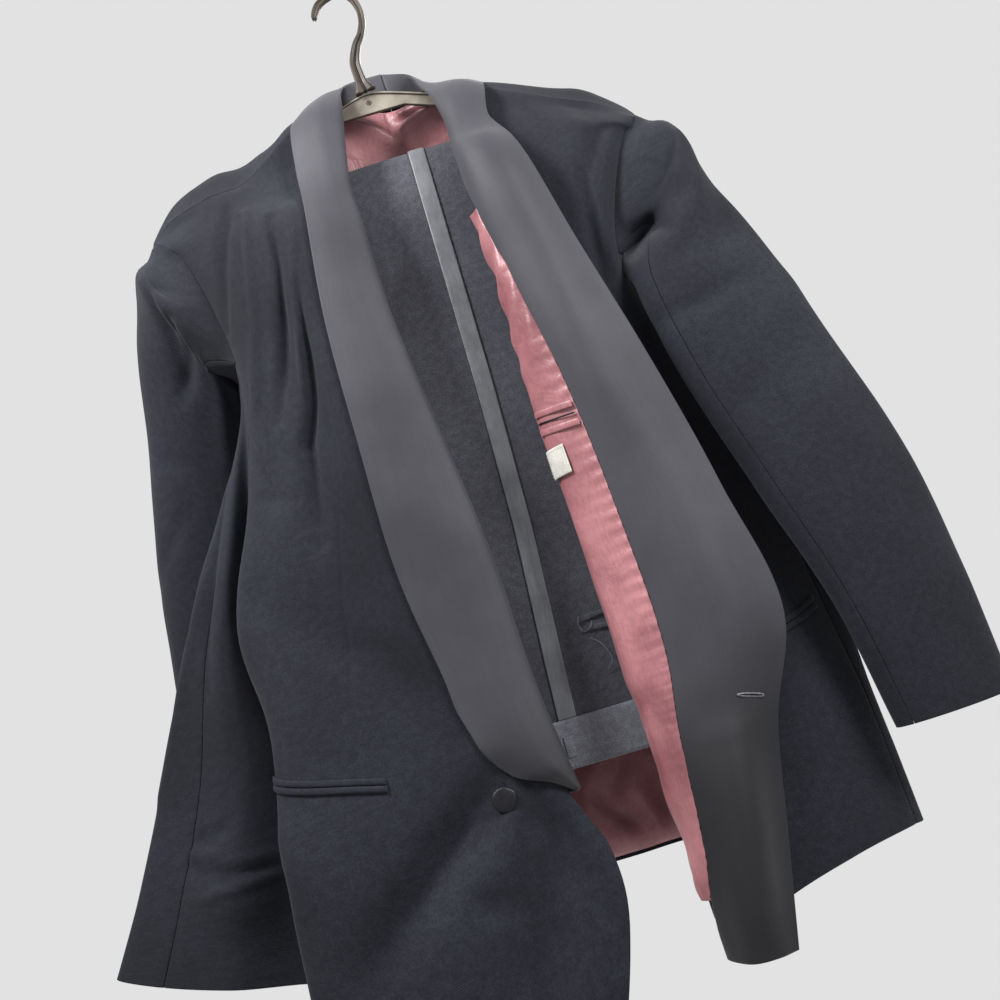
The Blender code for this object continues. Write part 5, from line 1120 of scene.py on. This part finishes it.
def make_trousers(leg):
    last = len(LEG_PATH) - 1
    for name, lines, end, step, away in (
        ("trouser_leg_right", np.linspace(0, LEG_RAILS - 1, 6), last, 0.005, 0),
        ("trouser_leg_left", np.linspace(0.08, LEG_RAILS - 1.1, 6), last - 0.12, 0.006, -INNER_LEG_SHIFT),
    ):
        dense(name, leg, lines, levels_between(leg, 0, end, step), away, away - LEG_CLOTH, "trouser_wool",
              (0, 0, 0.5, 0), spacing=step)
    table_z, table_x = np.array(STRIPE_LEFT) * CM

    def stripe_lines(levels):
        heights = leg.plain(np.full(len(levels), 2.0), levels)[:, 2]
        left_x = np.interp(heights, table_z, table_x)
        left_x[np.argmax(heights) :] = table_x[-1]
        return np.stack([leg_lines_at_x(leg, left_x + share * STRIPE_WIDTH * CM, levels)
                         for share in (0, 0.5, 1)])

    def ribbon(line, level):
        """The ribbon stands a little proud between its two sewn edges, and puckers along them."""
        edges = stripe_lines(level)
        share = np.clip((line - edges[0]) / (edges[2] - edges[0]), 0, 1)
        proud = 0.0005 * np.sin(np.pi * share) ** 0.6
        pucker = 0.0003 * (0.5 + 0.5 * np.sin(level * 75 + 2 * noise(81, level * 0, level * 8)))
        return proud + pucker * np.abs(np.cos(np.pi * share)) ** 2

    dense("stripe", leg, stripe_lines, levels_between(leg, 0, last, 0.0022, (0.0008,)), PLY_GAP + TRIM,
          PLY_GAP, "stripe_satin", (0, 0, 0.5, 0), spacing=0.0013, extra=ribbon)


def make_waistband():
    """A flattened ring, open above and below, with soft waves along it."""
    middle = np.mean(WAISTBAND_X), np.mean(WAISTBAND_Y)
    heights = np.linspace(*WAISTBAND_Z, 15)
    count = 240
    along = np.linspace(0, WAISTBAND_COLUMNS, count, endpoint=False)
    angles = -2 * np.pi * np.linspace(0, 1, WAISTBAND_COLUMNS + 1)
    turns = np.stack([np.cos(angles), np.sin(angles)], axis=1).round(9)
    sides = []
    for inward in (0, BAND_CLOTH / CM):
        half = np.array([np.ptp(WAISTBAND_X) / 2 - inward, np.ptp(WAISTBAND_Y) / 2 - inward])
        powers = (WAISTBAND_ROUNDNESS, WAISTBAND_FLATNESS)
        knots = middle + np.copysign(np.abs(turns) ** powers, turns) * half
        x, y = read(along, np.arange(WAISTBAND_COLUMNS + 1), knots).T
        wave = 0.03 * noise(91, x / 3.1, y * 0) - 0.03
        grid = np.zeros((count, len(heights), 3))
        grid[..., 0] = x[:, None]
        grid[..., 1] = (y - wave * np.sign(y - middle[1]))[:, None]
        grid[..., 2] = heights
        sides.append(grid * CM)
    place = np.stack([np.broadcast_to(sides[0][:, :1, 0], (count, len(heights))), -sides[0][:, :, 2]], axis=2)
    shell("waistband", *sides, place, "trouser_wool", ring=True)


def make_tab():
    """The small tab on the waistband, domed between its edges."""
    a, d = np.meshgrid(np.linspace(0, 1, 8), np.linspace(0, 1, 14), indexing="ij")
    x, z = TAB_X[0] * (1 - a) + TAB_X[1] * a, TAB_Z[0] * (1 - d) + TAB_Z[1] * d
    y = WAISTBAND_Y[0] - (PLY_GAP + TRIM) / CM
    proud = 0.04 * np.sin(np.pi * a) ** 0.5 * np.sin(np.pi * d) ** 0.5
    front = np.stack([x, y - proud, z], axis=-1) * CM
    back = np.stack([x, np.full(a.shape, y + TRIM / CM), z], axis=-1) * CM
    shell("waistband_tab", front, back, front[..., [0, 2]], "trouser_wool")


# ---------------------------------------------------------------- jets, welts and label


def strip(name, net, line_grid, level_grid, out, slot, dome, along=60, across=9, flip=False):
    """A narrow piped strip over a net: its edges lie on the cloth and its middle stands proud.
    The grids give its columns at the top and at the bottom edge."""
    places = np.linspace(0, len(line_grid) - 1, along)
    knots, share = np.arange(len(line_grid)), np.linspace(0, 1, across)
    lines, levels = (read(places, knots, grid) @ np.array([1 - share, share])
                     for grid in (line_grid, level_grid))
    ends = np.clip(np.minimum(places, places[-1] - places) / places[-1] * along / 2.5, 0.25, 1)[:, None]
    proud = dome * np.sin(np.pi * np.clip(share, 0.02, 0.98)) ** 0.5 * ends
    sign = -1 if flip else 1
    sides = [net.grid(lines, levels, out + sign * (TRIM / 2 + proud)),
             net.grid(lines, levels, np.full(lines.size, out - sign * TRIM / 2))]
    shell(name, *sides[::sign], net.flat(lines, levels), slot)


def make_hip_pocket(leg):
    x = np.linspace(*HIP_POCKET_X, 6) * CM
    for part, heights in HIP_POCKET_Z.items():
        z = np.linspace(*heights, 6) * CM
        levels = [leg_level_at(leg, z + side * HIP_JET_HALF * CM) for side in (-1, 1)]
        lines = [leg_lines_at_x(leg, x, level) for level in levels]
        strip("hip_pocket_jet_" + part, leg, np.stack(lines, axis=1), np.stack(levels, axis=1),
              PLY_GAP + TRIM / 2, "trouser_wool", 0.0007)


def make_pockets(body):
    for name, (lines, heights) in POCKETS.items():
        line, height = np.linspace(*lines, JET_STEPS), np.linspace(*heights, JET_STEPS)
        for part, apart in JET_APART.items():
            edges = [height + apart + side * JET_HALF for side in (1, -1)]
            levels = [level_at_height(body, line, edge * CM) for edge in edges]
            line_grid, level_grid = np.stack([line, line], axis=1), np.stack(levels, axis=1)
            if lines[1] < lines[0]:
                line_grid, level_grid = line_grid[::-1], level_grid[::-1]
            strip(name + "_jet_" + part, body, line_grid, level_grid, JET_GAP + TRIM / 2, "wool", 0.0009, 110)


def inner_strip(body, name, lines, levels, height, slot, across=9):
    line, top = np.linspace(*lines, 7), np.linspace(*levels, 7)
    strip(name, body, np.stack([line, line], axis=1), np.stack([top, top + height], axis=1),
          INNER_AWAY - TRIM / 2 - 0.002, slot, 0.0004, 60, across, True)


def make_inner_pocket(body):
    """Two welts with a dark slit between them, painted shade in the pocket's mouth, and the label below."""
    for part, levels in WELTS.items():
        inner_strip(body, "inner_pocket_welt_" + part, WELT_LINES, levels, WELT_HEIGHT, "lining")
    line = np.linspace(*WELT_LINES, 24)
    level = (np.linspace(*WELTS["upper"], 24) + WELT_HEIGHT + np.linspace(*WELTS["lower"], 24)) / 2
    path = body.at(line, level, INNER_AWAY - TRIM / 2 - 0.0021)
    radius = 0.0008 * np.array([0.3] + [1] * 22 + [0.3])
    # painted shade: the slit is a dark tube in the button's satin, standing for the shade in the pocket's
    # mouth
    joined("pocket_slit", [tube_parts(path, radius, 8, 0.7, -body.normal(line[0], level[0]))], "lining")
    inner_strip(body, "label", LABEL_LINES, (LABEL_TOP, LABEL_TOP), LABEL_HEIGHT, "label", 30)
    corners = np.array(((0.05, 0.06), (0.95, 0.06), (0.95, 0.94), (0.05, 0.94), (0.05, 0.06)))
    path = (LABEL_LINES[0], LABEL_TOP) + corners * (np.ptp(LABEL_LINES), LABEL_HEIGHT)
    stitched("label_stitches", body, path, 0.0026, 0.0016, 0.0002, INNER_AWAY - TRIM - 0.003, "label", 6)


# ---------------------------------------------------------------- button, buttonhole and threads


def make_button(body):
    """The covered button, and on it the place and directions for its shank."""
    line, lines = 0.8, np.linspace(0, 2, 60)
    for _ in range(3):
        level = float(level_at_height(body, [line], [BUTTON_Z * CM])[0])
        xs = body.plain(lines, np.full(60, level))[:, 0]
        order = np.argsort(xs)
        line = float(np.interp(BUTTON_X * CM, xs[order], lines[order]))
    seat, out = body.at([line], [level])[0], body.normal(line, level)
    side = unit(np.cross(out, (0, 0, 1)))
    up = np.cross(side, out)
    profile = curve_through(BUTTON_PROFILE, 34)
    count = 64
    angle = 2 * np.pi * np.arange(count) / count
    circle = side * np.cos(angle)[:, None] + up * np.sin(angle)[:, None]
    points = []
    for depth, share in profile:
        gather = 1 + 0.012 * np.sin(angle * 17) * (0.2 < depth < 0.7)
        ring = circle * (share * gather)[:, None]
        points.append(seat + out * (BUTTON_STAND + depth * BUTTON_THICK) + ring * BUTTON_RADIUS)
    points = np.concatenate(points)
    local = points - seat
    build("button", points, ring_faces(len(profile), count), np.stack([local @ side, local @ up], axis=1),
          "satin")
    return seat, out, side, up


def stitched(name, net, path, spacing, length, radius, out, slot, seed, skip=0.0):
    """A row of short stitches along a path of lines and levels on a net."""
    rng = np.random.default_rng(seed)
    knots = np.array(path, float).reshape(-1, 2)
    points = net.at(*read(np.linspace(0, len(knots) - 1, 400), np.arange(len(knots)), knots).T, out)
    along = run(points)
    parts = []
    start = spacing / 2
    while start + length < along[-1]:
        if rng.random() >= skip:
            at = start + length * np.array([0, 0.2, 0.5, 0.8, 1]) + rng.uniform(-0.1, 0.1) * spacing
            parts.append(tube_parts(read(at, along, points), radius * np.array([0.35, 0.9, 1, 0.9, 0.35]), 6))
        start += spacing
    joined(name, parts, slot)


def make_buttonhole(body):
    """The worked buttonhole on the left facing: a purled loop with a keyhole end, and a slit inside it,
    a dark tube of painted shade in the cut.
    """
    places = np.array(BUTTONHOLE)
    ends = body.at(*places.T, -(WOOL + PLY_GAP + SATIN + 0.0004))
    out = -body.normal(*places.mean(axis=0))
    centre = ends.mean(axis=0)
    along = unit(ends[1] - ends[0])
    side = unit(np.cross(out, along))
    half = BUTTONHOLE_LENGTH / 2

    def spot(angle, length, width, rise):
        """A point of the loop, with shares of its length and width, and its height."""
        across = BUTTONHOLE_HALF * (0.75 + 0.55 * max(0.0, math.cos(angle)) ** 3) * width
        return centre + along * half * math.cos(angle) * length + side * across * math.sin(angle) + out * rise

    loop = [spot(angle, 1, 1, 0.0005) for angle in np.linspace(0, 2 * np.pi, 90)]
    parts = [tube_parts(loop, 0.00055, 8)]
    for angle in np.linspace(0, 2 * np.pi, 58, endpoint=False):
        inner, outer = spot(angle, 0.93, 0.55, 0.0009), spot(angle, 1.07, 1.5, 0.0001)
        stitch = curve_through((inner, (inner + outer) / 2 + out * 0.0005, outer), 5)
        parts.append(tube_parts(stitch, 0.00028, 5))
    joined("buttonhole", parts, "satin")
    # painted shade: a dark tube in the button's satin, standing for the shade in the cut
    slit = [centre + along * half * share * 0.85 + out * 0.0002 for share in np.linspace(-1, 1, 14)]
    radius = 0.0005 * np.array([0.3] + [1] * 12 + [0.3])
    joined("buttonhole_slit", [tube_parts(slit, radius, 6, 0.4, out)], "wool")


def make_threads(body, leg, button):
    """Dart stitches, the button's shank with its thread end, and loose ends at the hip pocket."""
    seat, out, side, up = button
    stitched("dart_stitches", body, DART, 0.0052, 0.0026, 0.00028, 0.0002 - 0.0006, "wool", 5, 0.45)
    shank = []
    for turn in range(5):
        foot = seat + (side * math.cos(turn * 1.3) + up * math.sin(turn * 1.3)) * 0.0014
        shank.append(tube_parts((foot, foot + out * (BUTTON_STAND + 0.0004)), 0.0005, 6))
    tail = [seat + up * above + side * across + out * rise for above, across, rise in SHANK_TAIL]
    shank.append(tube_parts(curve_through(tail, 16), 0.00035, 6))
    joined("button_shank", shank, "satin")
    parts = []
    for knots in POCKET_THREADS:
        x, lift, z = np.array(knots).T * CM
        levels = leg_level_at(leg, z)
        path = leg.at(leg_lines_at_x(leg, x, levels), levels, lift)
        parts.append(tube_parts(curve_through(path, 24), 0.00032, 6))
    joined("pocket_threads", parts, "stripe_satin")


# ---------------------------------------------------------------- hanger


def swept_piece(name, sections):
    """A closed bar through rings of points in centimetres, with flat ends, for the node of that name."""
    sections = np.array(sections) * CM
    count, around = sections.shape[:2]
    faces = ring_faces(count, around)
    middle = sections.mean(axis=1)
    spin = np.cross(sections[0, 1] - middle[0], sections[0, 0] - middle[0])
    if np.dot(spin, middle[1] - middle[0]) > 0:
        faces = [face[::-1] for face in faces]
    points = sections.reshape(-1, 3)
    build(name, points, faces, points[:, [0, 2]], "hanger_plastic")


def make_hook():
    """The hook: a flat band with a raised rim on both faces, wider at its foot, and a groove in its stem,
    whose shade is painted by two dark tubes along it.
    """
    path = np.array(HOOK_PATH)
    last = len(path) - 1
    knots = np.arange(len(path), dtype=float)
    places = np.append(np.linspace(0, last, 150)[:-1], last - 1e-3)
    centre = smooth(knots, path, places)
    ahead, behind = np.minimum(places + 0.02, last), np.maximum(places - 0.02, 0)
    along = unit(smooth(knots, path, ahead) - smooth(knots, path, behind))
    width = np.interp(places, *np.array(HOOK_HALF_WIDTH).T)
    width *= np.clip((last - places) / 0.25, 0.35, 1) ** 0.5
    shape = HOOK_SECTION + tuple((-across, forward) for across, forward in HOOK_SECTION[-2::-1])
    shape += tuple((across, -forward) for across, forward in shape[-2:0:-1])
    sections = [[(x + dz * a * half, -f * HOOK_HALF_DEPTH, z - dx * a * half) for a, f in shape]
                for (x, z), (dx, dz), half in zip(centre, along, width)]
    swept_piece("hanger_hook", sections)
    # painted shade: two dark tubes lie along the stem's channel
    stem = places < HOOK_STEM
    radius = 0.0006 + 0.0008 * np.interp(places[stem], (0, 1, 5), (1, 0.5, 0.2))
    lines = [[(x * CM, side * 0.47 * HOOK_HALF_DEPTH * CM, z * CM) for x, z in centre[stem]]
             for side in (-1, 1)]
    joined("hook_groove", [tube_parts(line, radius) for line in lines], "hanger_plastic")


def arm_top(x):
    return ARM_TOP - ARM_SLOPE * (math.hypot(x - HUB_X, ARM_ROUNDING) - ARM_ROUNDING)


def arm_bottom(x):
    return min(HUB_BOTTOM, arm_top(x) - ARM_HEIGHT)


def arm_middle(x):
    return ARM_Y[0] + (ARM_Y[1] - ARM_Y[0]) * min(1.0, abs(x) / 6) ** 2


def make_arms():
    """Both arms in one bar: a web with a rounded flange along the top and a thin lip along the bottom, with
    a dark line of painted shadow under the flange, and the stud at the hub, drawn dark."""
    sections = []
    deep, lip = ARM_DEPTH / 2, ARM_WEB / 2
    web = lip * 0.8
    for x in HUB_X + np.linspace(-ARM_LENGTH, ARM_LENGTH, 181):
        top, bottom, y = arm_top(x), arm_bottom(x), arm_middle(x)
        flange = top - ARM_FLANGE
        half = ((deep * 0.6, top), (deep * 0.9, top - 0.02), (deep, top - 0.07), (deep, flange + 0.03),
                (deep * 0.93, flange - 0.02), (web + 0.02, flange - 0.06), (web, flange - 0.1),
                (web, bottom + 0.16), (web + 0.01, bottom + 0.13), (lip, bottom + 0.1), (lip, bottom + 0.03),
                (lip * 0.8, bottom))
        sections.append([(x, y + dy, z) for dy, z in half] + [(x, y - dy, z) for dy, z in half[::-1]])
    swept_piece("hanger_arms", sections)
    # painted shadow: a dark tube under the flange
    line = [(x * CM, (arm_middle(x) - deep * 0.93) * CM, (arm_top(x) - ARM_FLANGE - 0.01) * CM)
            for x in HUB_X + np.linspace(-7, 9, 60)]
    joined("arm_line", [tube_parts(line, 0.0004, 6)], "hanger_plastic")
    # the stud's ring and dot take the same dark plastic
    x, z = STUD
    face = (arm_middle(x) - web) * CM
    ring = [((x + STUD_RADIUS * math.cos(a)) * CM, face, (z + STUD_RADIUS * math.sin(a)) * CM)
            for a in 2 * np.pi * np.linspace(0, 1, 33)]
    dot = [(x * CM, face + 0.0005, z * CM), (x * CM, face - 0.0006, z * CM)]
    joined("hanger_stud", [tube_parts(ring, 0.0004, 6), tube_parts(dot, 0.0009, 10)], "hanger_plastic")


def make_bar():
    half = [(BAR_REACH - inward, rise) for inward, rise in BAR_END]
    bends = [(-reach, rise) for reach, rise in half] + [(0, 0)] + half[::-1]
    up = arm_bottom(HUB_X + BAR_REACH) - BAR_SEAT - BAR_Z
    path = np.array([(HUB_X + reach, BAR_Z + rise * up, BAR_Y + rise * (arm_middle(reach) - BAR_Y))
                     for reach, rise in bends])
    lengths = run(path)
    path = read(np.linspace(0, lengths[-1], 260), lengths, path)
    along = np.gradient(path[:, :2], axis=0)
    along[0], along[-1] = (ARM_SLOPE, -1), (ARM_SLOPE, 1)
    sections = []
    for (x, z, y), (dx, dz) in zip(path, unit(along)):
        ring = []
        for step in range(BAR_SIDES):
            angle = 2 * math.pi * step / BAR_SIDES
            radius = BAR_RADIUS + (BAR_SEAM if step in (0, BAR_SIDES // 2) else 0) - BAR_SEAM
            up, forward = radius * math.cos(angle), radius * math.sin(angle)
            ring.append((x - dz * up, y + forward, z + dx * up))
        sections.append(ring[::-1])
    swept_piece("hanger_bar", sections)


# ---------------------------------------------------------------- stage


def aimed(name, data, place, ahead, side, over):
    """A lamp or camera at a place, looking ahead."""
    rows = [[side[axis], over[axis], -ahead[axis], place[axis]] for axis in range(3)]
    made = bpy.data.objects.new(name, data)
    made.matrix_world = Matrix(rows + [[0, 0, 0, 1]])
    SCENE.collection.objects.link(made)
    return made


def make_stage():
    mesh = bpy.data.meshes.new("floor")
    angles = 2 * np.pi * np.arange(64) / 64
    rim = [(FLOOR_RADIUS * math.cos(a), FLOOR_RADIUS * math.sin(a), FLOOR_Z) for a in angles]
    mesh.from_pydata(rim, [], [tuple(range(64))])
    floor = bpy.data.objects.new("floor", mesh)
    look = Look("floor", 0.9)
    dust = look.add("TexNoise", {"Scale": 6, "Detail": 3}, "Fac")
    base = look.mixed(dust, (0.56, 0.56, 0.55, 1), (0.61, 0.61, 0.6, 1))
    look.tree.links.new(base, look.shader.inputs["Base Color"])
    mesh.materials.append(look.material)
    SCENE.collection.objects.link(floor)
    world = bpy.data.worlds.new("studio")
    world.use_nodes = True
    background = world.node_tree.nodes["Background"]
    background.inputs[0].default_value = (1, 1, 1, 1)
    background.inputs[1].default_value = WORLD_LIGHT
    SCENE.world = world
    for name, (place, aim, size, power) in LIGHTS.items():
        light = bpy.data.lights.new(name, "AREA")
        light.shape = "DISK"
        light.size = size
        light.energy = power
        way = unit(np.array(aim, float) - np.array(place, float))
        side = unit(np.cross(way, (0, 0, 1)))
        aimed(name, light, place, way, side, np.cross(side, way))


def make_camera():
    """The photograph's view: from below the chest, a little upwards, and tilted."""
    rise, roll = math.radians(CAMERA_RISE), math.radians(CAMERA_ROLL)
    ahead = np.array((0, math.cos(rise), math.sin(rise)))
    level_up, level_across = np.array((0, -math.sin(rise), math.cos(rise))), np.array((1, 0, 0))
    lens = bpy.data.cameras.new("camera")
    lens.sensor_width = 36
    lens.lens = CAMERA_LENS
    lens.clip_start = 0.01
    across = math.cos(roll) * level_across - math.sin(roll) * level_up
    over = math.sin(roll) * level_across + math.cos(roll) * level_up
    SCENE.camera = aimed("camera", lens, CAMERA_PLACE, ahead, across, over)


# ---------------------------------------------------------------- assembly


def main():
    make_camera()
    make_stage()
    body = body_net()
    make_body(body)
    make_linings(body)
    make_shawl(body)
    make_sleeve(-1, body, SLEEVE_RIGHT, SLEEVE_RIGHT_FOLDS, SLEEVE_RIGHT_CREASES)
    make_sleeve(1, body, SLEEVE_LEFT, SLEEVE_LEFT_FOLDS, SLEEVE_LEFT_CREASES)
    make_pockets(body)
    make_inner_pocket(body)
    button = make_button(body)
    leg = leg_net()
    make_trousers(leg)
    make_waistband()
    make_tab()
    make_hip_pocket(leg)
    make_buttonhole(body)
    make_threads(body, leg, button)
    make_hook()
    make_arms()
    make_bar()


SCENE.view_settings.view_transform = "Standard"
main()
